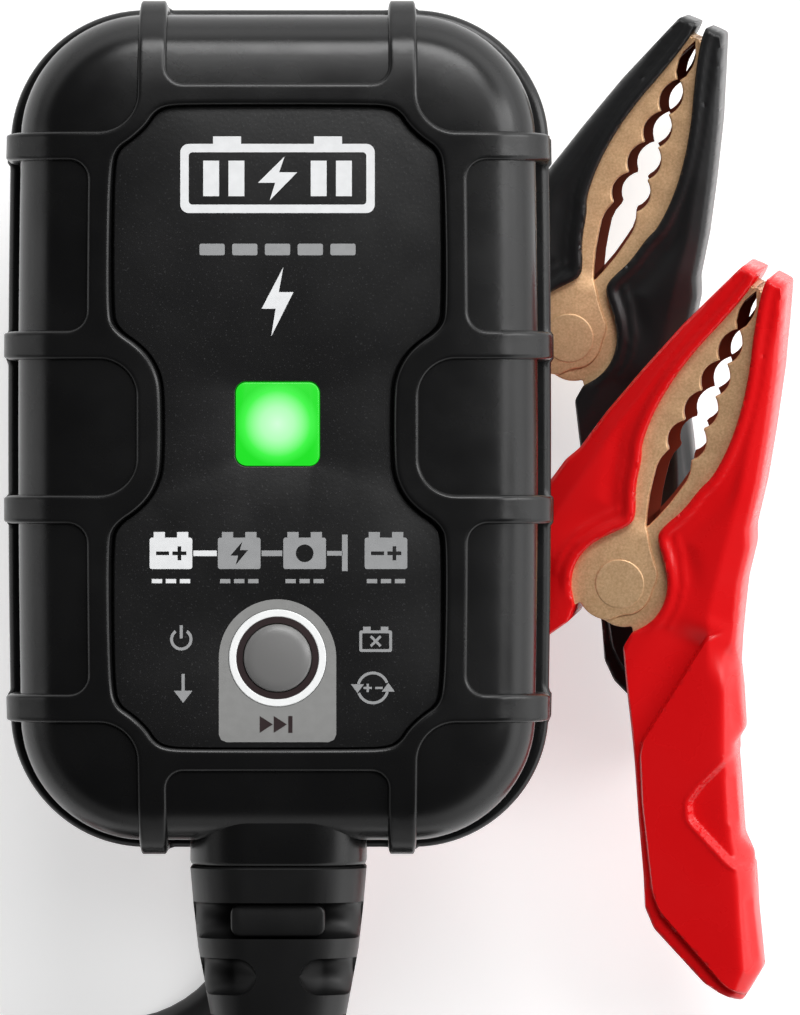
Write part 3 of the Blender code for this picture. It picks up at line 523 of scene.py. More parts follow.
def case_surface(flat, depth=0.0):
    """Front surface and wall of the case from its unrolled plan, set in by a depth."""
    box = CORE_HALF - CORE_RADIUS
    near = np.clip(flat, -box, box)
    away = flat - near
    reach = np.linalg.norm(away, axis=1)
    direction = away / np.maximum(reach, 1e-9)[:, None]
    past = np.where(reach > 0, reach - CORE_RADIUS, -CROWN_REACH)
    inner = np.clip(1 + past / CROWN_REACH, 0.0, 1.0)
    angle = np.clip(EDGE_START + np.maximum(past, 0) / EDGE_RADIUS, 0.0, math.pi / 2)
    down = np.maximum(past - EDGE_LENGTH, 0.0)
    over_edge = past > 0
    sweep = EDGE_RADIUS * (np.sin(angle) - math.sin(EDGE_START))
    out = np.where(over_edge, CORE_RADIUS + sweep, np.minimum(reach, CORE_RADIUS))
    drop = EDGE_RADIUS * (math.cos(EDGE_START) - np.cos(angle)) + down
    z = np.where(over_edge, PANEL_Z - CROWN - drop, PANEL_Z - CROWN * inner ** 2)
    tilt = np.where(over_edge, angle, np.arctan(2 * CROWN / CROWN_REACH * inner))
    normal = np.column_stack([direction * np.sin(tilt)[:, None], np.cos(tilt)])
    points = np.column_stack([near + direction * out[:, None], z])
    lift = band_height(flat, np.degrees(tilt)) if depth == 0.0 else np.full(len(flat), -depth)
    points = points + normal * lift[:, None]
    half = CORE_HALF + EDGE_REACH
    points[:, 0] *= 1 + BOW / half[0] * (1 - (points[:, 1] / half[1]) ** 2)
    return points


def band_height(flat, tilt):
    rise = 1 - quarter_round(panel_distance(flat), BAND_ROUND)
    return rise * (BAND_TOP_HEIGHT + (BAND_SIDE_HEIGHT - BAND_TOP_HEIGHT) * smooth_step(tilt, 30.0, 85.0))


def boundary_loops(triangles):
    """Closed chains of vertex numbers along the open edges of a set of triangles."""
    edges = {(a, b) for t in triangles for a, b in ((t[0], t[1]), (t[1], t[2]), (t[2], t[0]))}
    after = {a: b for a, b in edges if (b, a) not in edges}
    loops = []
    while after:
        start, here = after.popitem()
        loop = [start]
        while here != start:
            loop.append(here)
            here = after.pop(here)
        loops.append(loop)
    return loops


def build_front_shell(material):
    reach = CORE_HALF + UNROLLED
    outer = resample(rounded_rectangle(reach[0], reach[1], CORE_RADIUS + UNROLLED, steps=40), 0.8)
    lines = [grown(RECESS, amount) for amount in (0.03, 0.08, 0.16, 0.28, 0.42, 0.65, 1.0)]
    for centre, half, radius in panels():
        for amount in (0.0, 0.02, 0.06, 0.13, 0.24, BAND_ROUND, 0.6, -0.25):
            ring = rounded_rectangle(half[0] + amount, half[1] + amount, radius + amount, centre, steps=12)
            lines.append(resample(ring, 0.5))
    lines = [np.vstack([line, line[:1]]) for line in lines]
    extra = grid_points(-reach, reach, 0.9)
    extra = extra[inside_loops(extra, [outer]) & ~inside_loops(extra, [grown(RECESS, 0.4)])]
    extra = extra[np.abs(panel_distance(extra) - 0.2) > 0.6]
    flat, triangles = fill_region([outer, RECESS], lines, extra)
    points = case_surface(flat)
    points[:, 2] -= RECESS_DROP * quarter_round(distance_to(flat, RECESS), RECESS_ROUND)
    shell = Solid()
    shell.add(points, triangles)
    for loop in boundary_loops(triangles.tolist()):
        ring = flat[loop]
        if np.abs(ring[:, 1]).max() > CORE_HALF[1]:
            inner = case_surface(ring, WALL)
            ceiling_edge = inner[:, :2]
            shell.walls([inner, at_height(ceiling_edge, CAVITY_TOP)], loop)
        else:
            recess_edge = ring
            shell.walls([at_height(ring, RECESS_FLOOR)], loop)
    holes = [rounded_rectangle(LENS_HALF + 0.12, LENS_HALF + 0.12, 1.2, LENS_CENTRE, steps=8)]
    holes.append(circle(BUTTON_CENTRE, RING_OUTER + 0.12, 72))
    for edge, level in ((recess_edge, RECESS_FLOOR), (ceiling_edge, CAVITY_TOP)):
        shell.cap([edge] + holes, level)
    for hole in holes:
        shell.walls([at_height(hole, CAVITY_TOP), at_height(hole, RECESS_FLOOR)])
    make_mesh("front_shell", *shell.parts(), material, slot="shell_plastic", replaces=("front_housing",),
              sharp=38)


REAR_PROFILE = [
    (0.0, 0.6), (0.1, 0.1), (0.3, -0.2), (0.65, -0.35), (1.9, -0.35), (2.15, 0.1), (2.6, 0.5), (5.7, 0.62),
    (6.6, 0.78), (7.8, 1.25), (9.2, 2.0), (10.6, 2.95), (11.8, 4.15), (12.9, 5.6), (13.7, 7.2), (14.35, 9.0),
    (14.6, 10.1), (14.7, 11.0),
]
REAR_STEPS = 720
GASKET_STEPS = 506


def case_outline(inset, radius, count, spacing=0.2):
    """The case's plan outline with its bowed long sides, as a number of even points."""
    size = (REAR_HALF[0] - BOW - inset, REAR_HALF[1] - inset)
    ring = resample(rounded_rectangle(size[0], size[1], radius - inset, steps=30), spacing)
    ring = ring[np.linspace(0, len(ring), count, endpoint=False).astype(int)]
    bow = 1 + BOW / size[0] * (1 - (ring[:, 1] / size[1]) ** 2)
    return np.column_stack([ring[:, 0] * bow, ring[:, 1]])


def build_rear_shell(material):
    """The rear shell: a rim that shows round the front shell, and walls that round in to the back."""
    inner = [(9.0, REAR_Z + 2.2), (3.0, REAR_Z + 8.0), (3.0, SEAM_LOW)]
    rings = [at_height(case_outline(inset, 14.0, REAR_STEPS), z) for inset, z in inner]
    for depth, inset in REAR_PROFILE:
        ring = case_outline(inset, 14.0, REAR_STEPS)
        normal = outline_normals(ring)
        along_side = np.abs(ring[:, 1])
        side_gap = np.minimum(np.abs(along_side - 8.8), np.abs(along_side - 30.1))
        end_gap = np.abs(np.abs(ring[:, 0]) - 13.35)
        on_side, on_end = np.abs(normal.T) > 0.75
        gap = np.where(on_side, side_gap, np.where(on_end, end_gap, 9.0))
        band = smooth_step(1.65 - gap, 0.0, 0.3) * 0.3 * (1 - smooth_step(depth, 6.5, 9.0))
        rings.append(at_height(ring + normal * band[:, None], SEAM_LOW - depth))
    make_mesh("rear_shell", *loft(rings), material, slot="shell_plastic", replaces=("rear_housing",), sharp=38)


def build_gasket(material):
    outer, inner = (case_outline(inset, 13.0, GASKET_STEPS, 0.5) for inset in (1.9, 3.2))
    low, high = SEAM_LOW - 0.02, SEAM_HIGH + 0.02
    rings = [at_height(ring, z) for ring, z in ((inner, low), (outer, low), (outer, high), (inner, high))]
    make_mesh("seam_gasket_ring", *loft(rings, closed=True), material, slot="boot_rubber",
              replaces=("seam_gasket",))


def loft_along_y(name, sections, material, **settings):
    """A closed solid from sections (y, ring of x and z about the cable's axis)."""
    rings = [np.column_stack([ring[:, 0], np.full(len(ring), y), CABLE_Z + ring[:, 1]]) for y, ring in sections]
    return make_mesh(name, *loft(rings), material, **settings)


def build_neck(material):
    """The collar moulded on both shells, which holds the strain relief."""
    for name, low, high in (("neck_upper", SEAM_HIGH - CABLE_Z, 20.0),
                            ("neck_lower", -20.0, SEAM_LOW - CABLE_Z)):
        sections = []
        for y, shrink in ((-40.5, 0.0), (-46.6, 0.0), (-46.9, 0.12), (-47.1, 0.4)):
            ring = rounded_rectangle(9.5 - shrink, 9.6 - shrink, 6.2 - shrink, steps=14)
            ring[:, 1] = np.clip(ring[:, 1], low, high)
            sections.append((y, ring))
        loft_along_y(name, sections, material, slot="shell_plastic")


# Display

def rounded_edge(level, edge, way=1):
    """Heights and insets round an edge, from the side to the face at a level; way is -1 for a lower face."""
    angles = np.radians((0.0, 30.0, 60.0, 90.0))
    return [(level - way * edge * (1 - math.sin(a)), edge * (1 - math.cos(a))) for a in angles]


def plate_mesh(name, outer, holes, low, high, material, edge, **settings):
    """A flat plate with holes, whose top edges are rounded a little."""
    plate = Solid()
    loops = [outer] + holes
    normals = [outline_normals(ring) * (1.0 if number else -1.0) for number, ring in enumerate(loops)]
    for ring, normal in zip(loops, normals):
        steps = [(low, 0.0)] + rounded_edge(high, edge)
        plate.walls([at_height(ring + normal * inset, z) for z, inset in steps])
    plate.cap(loops, low)
    plate.cap([ring + normal * edge for ring, normal in zip(loops, normals)], high)
    make_mesh(name, *plate.parts(), material, sharp=50, **settings)


def lens_outline(margin=0.0):
    return rounded_rectangle(LENS_HALF + margin, LENS_HALF + margin, 1.1 + margin, LENS_CENTRE, steps=8)


def build_overlay(material):
    holes = [lens_outline(0.1), circle(BUTTON_CENTRE, RING_OUTER + 0.06, 72)]
    edge = resample(grown(RECESS, -0.14), 0.45)
    plate_mesh("overlay_plate", edge, holes, RECESS_FLOOR + 0.05, OVERLAY_TOP, material, edge=0.12,
               slot="overlay_film", replaces=("overlay_panel",))


def build_lens(material):
    plate_mesh("status_window", lens_outline(), [], CAVITY_TOP - 3.0, OVERLAY_TOP + 0.06, material, edge=0.15,
               slot="green_lens", replaces=("status_lens",))


def turned(profile, centre, steps=96, closed=False):
    """Points and faces turned about a vertical line, from radius and height pairs."""
    return loft([at_height(circle(centre, max(radius, 1e-4), steps), z) for radius, z in profile], closed)


def build_button(materials):
    top, bottom = OVERLAY_TOP, CAVITY_TOP - 3.0
    ring = [
        (RING_INNER, bottom), (RING_INNER, top + 0.02), (RING_INNER + 0.06, top + 0.08),
        (RING_OUTER - 0.08, top + 0.08), (RING_OUTER, top), (RING_OUTER, bottom),
    ]
    make_mesh("light_ring", *turned(ring, BUTTON_CENTRE, closed=True), materials["white_ring"],
              slot="white_lens", replaces=("button_light_ring",))
    cap = [
        (0.0, bottom), (1.5, bottom), (1.5, CAVITY_TOP), (BUTTON_RADIUS, CAVITY_TOP),
        (BUTTON_RADIUS, top + 0.05), (BUTTON_RADIUS - 0.06, top + 0.17), (BUTTON_RADIUS - 0.22, top + 0.28),
    ]
    for radius in (BUTTON_RADIUS - 0.4) * np.arange(8, -1, -1) / 9:
        cap.append((radius, top + 0.32 + 0.33 * (1 - (radius / BUTTON_RADIUS) ** 2)))
    make_mesh("button_cap", *turned(cap, BUTTON_CENTRE), materials["button"], body="mode_button",
              slot="button_plastic", replaces=("mode_button",), weld=False, sharp=50)
    collar = [
        (BUTTON_RADIUS + 0.1, CAVITY_TOP + 0.5), (BUTTON_RADIUS + 0.1, top + 0.02),
        (RING_INNER - 0.04, top + 0.02), (RING_INNER - 0.04, CAVITY_TOP + 0.5),
    ]
    make_mesh("button_collar", *turned(collar, BUTTON_CENTRE, closed=True), materials["dark_collar"])


def box_outline(x0, y0, x1, y1):
    return np.array([(x0, y0), (x1, y0), (x1, y1), (x0, y1)])


def print_marks(name, marks, material, lift=0.03):
    """Thin raised ink. Each mark is an outline and its holes."""
    low, high = OVERLAY_TOP - 0.02, OVERLAY_TOP + lift
    ink = Solid()
    for loops in marks:
        for z in (low, high):
            ink.cap(loops, z)
        for ring in loops:
            ink.walls([at_height(ring, low), at_height(ring, high)])
    make_mesh(name, *ink.parts(), material, sharp=30)


def battery_icon(x, y, holes):
    """A small battery: its body, with holes in it, and two terminals."""
    half_x, half_y = 2.28, 1.68
    marks = [(rounded_rectangle(half_x, half_y, 0.25, (x, y), steps=4), *holes)]
    for at in (x - 1.25, x + 1.25):
        marks.append((box_outline(at - 0.6, y + half_y, at + 0.6, y + half_y + 0.6),))
    return marks


def plus_outline(x, y, size, bar):
    s, b = size / 2, bar / 2
    pts = [
        (s, -b), (s, b), (b, b), (b, s), (-b, s), (-b, b), (-s, b), (-s, -b), (-b, -b), (-b, -s), (b, -s),
        (b, -b),
    ]
    return np.array(pts) + (x, y)


def bolt_outline(x, y, width, height):
    """A plain lightning bolt."""
    pts = [(0.18, 0.5), (-0.5, -0.1), (-0.06, -0.1), (-0.2, -0.5), (0.5, 0.14), (0.04, 0.14)]
    return np.array(pts) * (width, height) + (x, y)


def band_arc(x, y, inner, outer, start, end, steps=24):
    return np.vstack([arc((x, y), outer, start, end, steps), arc((x, y), inner, end, start, steps)])


def build_prints(materials):
    """Generic symbols: a battery, bolts, a row of bars, four battery modes, four small signs, a skip arrow."""
    white = [
        (rounded_rectangle(10.4, 3.7, 0.9, (0.0, 26.6), steps=6),
         rounded_rectangle(9.5, 2.8, 0.4, (0.0, 26.6), steps=6)),
        (bolt_outline(0.0, 26.6, 4.2, 4.7),), (bolt_outline(0.0, 13.4, 3.4, 7.4),),
    ]
    white += [(box_outline(at - 1.5, 30.3, at + 1.5, 31.1),) for at in (-5.4, 5.4)]
    white += [(box_outline(at - 0.85, 24.7, at + 0.85, 28.5),) for at in (-7.1, -4.4, 4.4, 7.1)]
    grey = [(rounded_rectangle(1.35, 0.62, 0.2, (x, 19.0), steps=3),) for x in (-7.0, -3.5, 0.0, 3.5, 7.0)]
    row = -13.5
    white += battery_icon(-11.4, row, [
        plus_outline(-10.5, row, 1.5, 0.4), box_outline(-13.0, -13.7, -11.6, -13.3)])
    grey += battery_icon(-4.1, row, [bolt_outline(-4.1, row, 1.9, 2.5)])
    grey += battery_icon(2.9, row, [circle((2.9, row), 0.95, 24)])
    grey += battery_icon(11.6, row, [plus_outline(12.5, row, 1.5, 0.4), box_outline(10.0, -13.7, 11.4, -13.3)])
    white.append((box_outline(-9.0, -13.8, -6.5, -13.2),))
    for x, marks in ((-11.4, white), (-4.1, grey), (2.9, grey), (11.6, grey)):
        marks += [(box_outline(at - 0.55, -16.7, at + 0.55, -16.25),) for at in (x - 1.5, x, x + 1.5)]
    bars = [
        (-1.7, -13.8, 0.5, -13.2), (5.3, -13.75, 6.95, -13.25), (6.9, -15.4, 7.5, -11.5),
        (-10.46, -22.6, -10.14, -21.2), (-10.27, -28.2, -9.93, -26.4), (9.15, -21.75, 9.95, -21.35),
        (11.05, -21.75, 11.85, -21.35), (10.45, -28.02, 11.25, -27.78),
    ]
    grey += [(box_outline(*bar),) for bar in bars]
    grey += [(band_arc(-10.3, -22.7, 0.88, 1.2, 125.0, 415.0),)]
    grey += [(band_arc(10.2, -27.9, 1.45, 1.75, start, start + 145.0),) for start in (20.0, 200.0)]
    grey += [(rounded_rectangle(1.75, 1.15, 0.2, (10.5, -22.9), steps=3),
              rounded_rectangle(1.45, 0.85, 0.1, (10.5, -22.9), steps=3))]
    turn = np.array([(0.707, -0.707), (0.707, 0.707)])
    grey += [(plus_outline(0.0, 0.0, 1.5, 0.28) @ turn.T + (10.5, -22.9),),
             (plus_outline(9.65, -27.9, 0.9, 0.24),)]
    arrows = [
        [(-11.1, -28.2), (-9.1, -28.2), (-10.1, -29.5)], [(7.85, -27.5), (9.25, -27.5), (8.55, -28.45)],
        [(11.15, -28.3), (12.55, -28.3), (11.85, -27.35)],
    ]
    grey += [(np.array(arrow),) for arrow in arrows]
    print_marks("white_marks", white, materials["white_print"])
    print_marks("grey_marks", grey, materials["grey_print"])
    half = 6.28
    foot = [(-half, -32.9), (-half + 0.25, -33.45), (-half + 0.8, -33.7)]
    foot += [(-x, y) for x, y in reversed(foot)]
    arch = np.vstack([arc(BUTTON_CENTRE, half, 0.0, 180.0, 48), foot])
    ring = circle(BUTTON_CENTRE, RING_OUTER + 0.06, 72)
    print_marks("mode_plate_mark", [(arch, ring)], materials["mode_plate"])
    glyph = [(np.array([(x, -30.9), (x, -32.7), (x + 1.4, -31.8)]),) for x in (-1.9, -0.4)]
    glyph.append((box_outline(1.15, -32.7, 1.6, -30.9),))
    print_marks("mode_glyph", glyph, materials["dark_collar"], lift=0.05)


# Strain relief

BOOT_SECTIONS = [
    (-47.15, 9.3, 9.2), (-47.4, 9.5, 9.4), (-51.0, 9.2, 9.1), (-56.0, 8.65, 8.5), (-62.8, 7.4, 7.3),
    (-71.0, 5.8, 5.7), (-79.6, 4.5, 4.5), (-80.0, 4.2, 4.2),
]
BOOT_CORNER = 0.66
BOOT_SLOTS = ((-51.0, -54.9, -0.5), (-57.0, -61.0, 2.3), (-63.2, -66.6, 3.6))


def boot_half(y):
    """The boot's half width and half height at a place along it."""
    table = np.array(BOOT_SECTIONS)
    return [np.interp(-y, -table[:, 0], table[:, k]) for k in (1, 2)]


def slot_cutter(y_high, y_low, inner, side, level):
    """A round-bottomed groove across the boot that follows its face; its inner end slopes up."""
    middle, radius = (y_high + y_low) / 2, (y_high - y_low) / 2
    half_x, half_z = boot_half(middle)
    corner = BOOT_CORNER * half_z
    end = 1.1 * radius
    stations = [inner + end * (1 - math.cos(a)) for a in np.linspace(0.0, math.pi / 2, 12)]
    stations += [*np.linspace(stations[-1] + 0.2, half_x - 0.05, 16), half_x + 3.0]
    rings = []
    for x in stations:
        beside = min(max(abs(x) - (half_x - corner), 0.0), corner)
        face = half_z - corner + math.sqrt(max(corner ** 2 - beside ** 2, 0.0))
        wide, deep = radius, 0.4 * half_z + 0.6 * face - 3.3
        if inner > 0:
            share = min((x - inner) / end, 1.0)
            wide *= max(math.sqrt(max(1 - (1 - share) ** 2, 0.0)), 0.12)
            deep += 1.6 * (1 - min((x - inner) / 2.6, 1.0)) ** 1.5
        low = [(wide * math.cos(a), deep + 1.5 + 1.5 * math.sin(a))
               for a in np.linspace(math.pi, 2 * math.pi, 15)]
        ring = [(-wide, 14.0)] + low + [(wide, 14.0)]
        rings.append([(side * x, middle + y + BODY_Y, CABLE_Z + level * z) for y, z in ring])
    return new_object("slot_cutter", solid_data("slot_cutter", *loft(rings), weld=False))


def cut(item, cutters):
    """Cut each tool out of an item and drop the tool."""
    for cutter in cutters:
        modifier = item.modifiers.new("cut", "BOOLEAN")
        modifier.operation = "DIFFERENCE"
        modifier.solver = "EXACT"
        modifier.object = cutter
        bpy.context.view_layer.update()
        shape = item.evaluated_get(bpy.context.evaluated_depsgraph_get())
        result = bpy.data.meshes.new_from_object(shape)
        item.modifiers.clear()
        item.data = result
        bpy.data.objects.remove(cutter, do_unlink=True)


def build_boot(material):
    ys = [-47.15, -47.4, -51.0, *np.arange(-52.0, -79.6, -1.0), -79.6, -79.85, -80.0]
    sections = []
    for y in ys:
        half_x, half_z = boot_half(y)
        sections.append((y, rounded_rectangle(half_x, half_z, BOOT_CORNER * half_z, steps=14)))
    boot = loft_along_y("bend_boot", sections, material, slot="boot_rubber", replaces=("strain_relief",),
                        sharp=42)
    cut(boot, [slot_cutter(*slot, side, level) for slot in BOOT_SLOTS for side in (-1, 1) for level in (-1, 1)])
    boot.data.shade_smooth()
    boot.data.set_sharp_from_angle(angle=math.radians(42))
    block = prism(rounded_rectangle(5.05, 1.8, 1.1, (0.0, -52.87)), CABLE_Z - 8.15, CABLE_Z + 8.15, 0.3)
    make_mesh("boot_insert", *block.parts(), material, slot="boot_rubber")


# Clamps: x to the right and y towards the tips, from the pivot; the right half, which the left mirrors

CLAMPS = {"black": (23.1, 0.14), "red": (25.2, 0.21)}
UPHILL = (0.8, 0.6)
COVER_HALF = 5.0
JAW_HALF = 4.0
COVER_OUTER = [
    (2.5, 37.8), (5.8, 29.0), (7.8, 22.4), (9.4, 16.6), (10.4, 11.7), (11.3, 9.8), (12.1, 5.8), (14.4, -0.8),
    (19.0, -9.1), (18.8, -11.0), (20.3, -13.6), (23.8, -20.0), (25.7, -21.2), (28.7, -26.9), (32.1, -32.5),
    (31.7, -36.6),
]
COVER_END = [(29.2, -36.7), (27.1, -36.4), (19.5, -33.3), (17.6, -31.6)]
COVER_INNER = [(15.9, -28.3), (12.8, -22.9), (9.9, -17.6), (5.9, -10.7), (3.3, -6.1), (3.5, -4.3)]
COVER_BESIDE_JAW = [
    (4.9, -2.5), (5.5, -0.1), (4.9, 2.5), (3.2, 4.8), (1.8, 6.3), (1.5, 7.5), (3.0, 10.6), (3.6, 13.6),
    (4.4, 15.3), (4.6, 20.2), (3.6, 26.2), (1.6, 32.3), (0.6, 36.3), (0.6, 37.8),
]
OUTER_RIDGE = [
    (2.5, 37.0), (4.9, 27.9), (5.7, 24.1), (7.9, 15.2), (8.9, 8.8), (10.3, 1.5), (12.6, -3.6), (16.0, -9.1),
]
HANDLE_TOP = [
    (11.4, -1.4), (9.8, -14.6), (10.2, -16.2), (12.7, -21.0), (17.9, -29.6), (19.4, -31.0), (29.4, -35.4),
    (40.0, -36.0), (40.0, 2.0), (14.5, 2.0),
]
FLANK_LINE = [
    (13.4, -0.5), (14.0, -2.4), (18.7, -12.5), (22.9, -20.0), (25.7, -24.0), (30.6, -33.1), (30.8, -37.0),
]
FINGER_REST = [
    (19.2, -11.4), (17.4, -16.4), (17.0, -18.6), (18.0, -20.4), (24.4, -23.0), (30.0, -21.4), (24.0, -11.0),
]
CREASE = [(3.6, 7.6), (5.1, 5.9), (6.4, 3.6), (7.1, 0.8), (7.0, -1.8)]
JAW_OUTER = [
    (0.9, 36.2), (2.7, 32.2), (4.8, 26.3), (6.0, 20.2), (6.0, 15.3), (5.8, 10.6), (6.1, 6.2), (7.5, 0.5),
    (8.9, -4.2), (13.5, -16.1),
]
JAW_TAIL = [(10.4, -17.1), (5.6, -7.0)]
TOOTH_TIPS = (31.2, 27.2, 23.4, 19.6, 15.9)
TOOTH_DEPTH = 0.95
LOBE_RADIUS = 4.9


def clamp_place(colour):
    """A clamp's rotation and pivot, in millimetres."""
    joint = next(j for j in frame["joints"] if j["name"] == f"{colour}_clamp_hinge")
    turn, slope = CLAMPS[colour]
    lean = Matrix.Rotation(math.atan(slope), 3, Vector((UPHILL[1], -UPHILL[0], 0.0)))
    rotation = lean @ Matrix.Rotation(math.radians(-turn), 3, "Z")
    return np.array(rotation), np.array(joint["pos_m"]) / MM


def clamp_mesh(colour, side, name, points, faces, material, **settings):
    rotation, pivot = clamp_place(colour)
    local = np.asarray(points, float) * (side, 1.0, 1.0)
    body = CHARGER if side < 0 else f"{colour}_clamp_half"
    make_mesh(name, local @ rotation.T + pivot, faces, material, body=body, shift=(0.0, 0.0, 0.0), **settings)


def signed_gap(points, ring):
    """Distance outside a closed outline; negative inside."""
    return distance_to(points, ring) * np.where(inside_loops(points, [ring]), -1.0, 1.0)


def softened(points, corner, spacing=0.3):
    """A closed outline whose corners are rounded over about a given length."""
    ring = np.asarray(points, float)
    dense = []
    for a, b in zip(ring, np.roll(ring, -1, axis=0)):
        count = max(1, int(np.ceil(np.linalg.norm(b - a) / corner)))
        dense += [a + (b - a) * i / count for i in range(count)]
    return resample(chaikin(dense, 3), spacing)


def eased(points, rounds=3):
    """An open line with its corners cut, keeping both ends."""
    line = np.asarray(points, float)
    for _ in range(rounds):
        cuts = np.stack([0.75 * line[:-1] + 0.25 * line[1:], 0.25 * line[:-1] + 0.75 * line[1:]], axis=1)
        line = np.vstack([line[:1], cuts.reshape(-1, 2), line[-1:]])
    return line


JAW_SIDE = eased(COVER_INNER[-1:] + COVER_BESIDE_JAW)
COVER = softened(COVER_OUTER + COVER_END + COVER_INNER[:-1] + JAW_SIDE.tolist(), 0.8)
HANDLE_AREA = softened(HANDLE_TOP, 1.2)
REST_AREA = softened(FINGER_REST, 1.8)


def cover_height(flat):
    """Height of a cover's face above the clamp's middle plane."""
    x, y = flat[:, 0], flat[:, 1]
    to_jaw = distance_to(flat, JAW_SIDE, closed=False)
    to_outer = distance_to(flat, COVER_OUTER, closed=False)
    to_inner = distance_to(flat, COVER_END + COVER_INNER, closed=False)
    to_edge = distance_to(flat, COVER)
    z = np.full(len(flat), COVER_HALF)
    ridge = np.array(OUTER_RIDGE)[::-1]
    beyond = x - np.interp(y, ridge[:, 1], ridge[:, 0])
    bevel = np.where(y > -10.0, np.clip(beyond + 0.1, 0.0, 4.0), 0.0)
    z -= 0.42 * bevel * smooth_step(y, -6.0, -1.5) * (1 - smooth_step(y, 30.0, 36.0))
    above = smooth_step(y, 1.0, 6.0) * (1 - smooth_step(y, 27.0, 34.0))
    z += 0.26 * (1 - smooth_step(to_jaw, 0.85, 1.2)) * smooth_step(y, -4.5, -1.0)
    z -= 0.1 * np.exp(-((to_jaw - 1.32) / 0.16) ** 2) * smooth_step(y, 3.0, 6.0)
    z -= 0.28 * above * np.exp(-((to_jaw - 2.6) / 1.1) ** 2) * smooth_step(-beyond, 0.0, 1.4)
    z += 0.16 * np.exp(-(distance_to(flat, CREASE, closed=False) / 0.22) ** 2)
    outside = signed_gap(flat, HANDLE_AREA)
    fade = (1 - smooth_step(outside, 0.6, 6.0)) * (1 - smooth_step(y, -3.0, 0.5))
    z -= 0.95 * smooth_step(outside, 0.0, 0.4) * fade
    rest = signed_gap(flat, REST_AREA)
    z -= 0.85 * (1 - smooth_step(rest, -0.45, 0.0))
    z += 0.1 * np.exp(-((rest - 0.3) / 0.18) ** 2)
    edge = np.array(FLANK_LINE)[::-1]
    flank = 0.87 * (x - np.interp(y, edge[:, 1], edge[:, 0]))
    z -= 0.95 * (flank + np.sqrt(flank ** 2 + 0.09)) * (1 - smooth_step(y, -3.0, -0.5))
    for low, high in ((-9.0, -3.5), (-19.0, -14.0), (-32.0, -25.5)):
        along = smooth_step(y, low, low + 0.5) * (1 - smooth_step(y, high - 0.5, high))
        z -= 0.5 * along * np.exp(-((to_outer - 0.62) / 0.26) ** 4)
    nose_round = 0.3 + 0.25 * (1 - smooth_step(y, 30.0, 35.0))
    near = np.minimum(to_edge, np.where(to_outer < to_inner, to_outer, to_edge))
    radius = np.where((to_outer < to_jaw) & (to_outer < to_inner), nose_round, 0.3)
    return z - radius * quarter_round(near, radius)


def build_cover(colour, side, material):
    lines = []
    for amount in (0.06, 0.15, 0.28, 0.45, 0.7, 1.0, 1.35, 1.75):
        inner = grown(COVER, -amount)
        lines.append(inner[distance_to(inner, COVER) > amount * 0.93])
    lines += [grown(area, amount) for area in (HANDLE_AREA, REST_AREA)
              for amount in (-0.7, -0.35, 0.0, 0.13, 0.26, 0.4, 0.6)]
    extra = np.vstack(lines + [grid_points(COVER.min(axis=0), COVER.max(axis=0), 0.42)])
    extra = extra[inside_loops(extra, [COVER])]
    extra = extra[distance_to(extra, COVER) > 0.04]
    flat, triangles = fill_region([COVER], [], extra)
    height = cover_height(flat)
    cover = Solid()
    cover.add(np.column_stack([flat, height]), triangles)
    under = cover.add(np.column_stack([flat, -height]), triangles)
    loop = boundary_loops(triangles.tolist())[0]
    cover.faces += strip(loop, [under[k] for k in loop])
    hand = "left" if side < 0 else "right"
    clamp_mesh(colour, side, f"{colour}_sleeve_{hand}", *cover.parts(), material, sharp=50,
               slot=f"{colour}_plastic", replaces=(f"{colour}_cover_{hand}",))


def bite_line(y):
    """How far a tooth's tip stays from the middle: the jaws touch at the nose and part towards the pivot."""
    return 0.12 + max(0.0, 31.2 - y) * 0.082


def jaw_teeth():
    """The biting edge, from the crotch to the tip: round scallops between sharp teeth."""
    points = [(-1.3, 5.2), (-0.5, 6.4), (0.12, 7.15), (0.55, 8.3), (1.15, 10.2), (1.55, 12.0), (1.85, 13.6),
              (1.8, 14.6)]
    rising = sorted(TOOTH_TIPS)
    for low, high in zip(rising, rising[1:]):
        for i in range(10):
            share = i / 10
            y = low + (high - low) * share
            points.append((bite_line(y) + TOOTH_DEPTH * math.sin(math.pi * share) ** 0.75, y))
    points += [(0.12, rising[-1]), (0.6, 31.9), (0.85, 33.2), (0.7, 34.6), (0.2, 36.2)]
    return points


def jaw_outline():
    lobe = arc((0.0, 0.0), LOBE_RADIUS, -50.0, -236.0, 60)
    reach = LOBE_RADIUS - 1.2 * smooth_step(-lobe[:, 0], 0.0, 3.0) + 0.8 * smooth_step(lobe[:, 1], 1.0, 4.0)
    reach -= 0.55 * np.exp(-((np.arctan2(lobe[:, 1], lobe[:, 0]) + 1.75) / 0.45) ** 2)
    lobe = lobe * (reach / LOBE_RADIUS)[:, None]
    return np.array(JAW_OUTER + JAW_TAIL + lobe.tolist() + jaw_teeth())


def prism(ring, low, high, edge=0.0):
    """A plate between two heights, with rounded edges if wanted."""
    steps = rounded_edge(low, edge, -1)[::-1] + rounded_edge(high, edge) if edge else [(low, 0.0), (high, 0.0)]
    after = np.roll(ring, -1, axis=0)
    turn = np.sign(np.sum(ring[:, 0] * after[:, 1] - after[:, 0] * ring[:, 1]))
    levels = [(ring - turn * outline_normals(ring) * inset, z) for z, inset in steps]
    solid = Solid()
    solid.walls([at_height(moved, z) for moved, z in levels])
    for moved, z in (levels[0], levels[-1]):
        solid.cap([moved], z)
    return solid


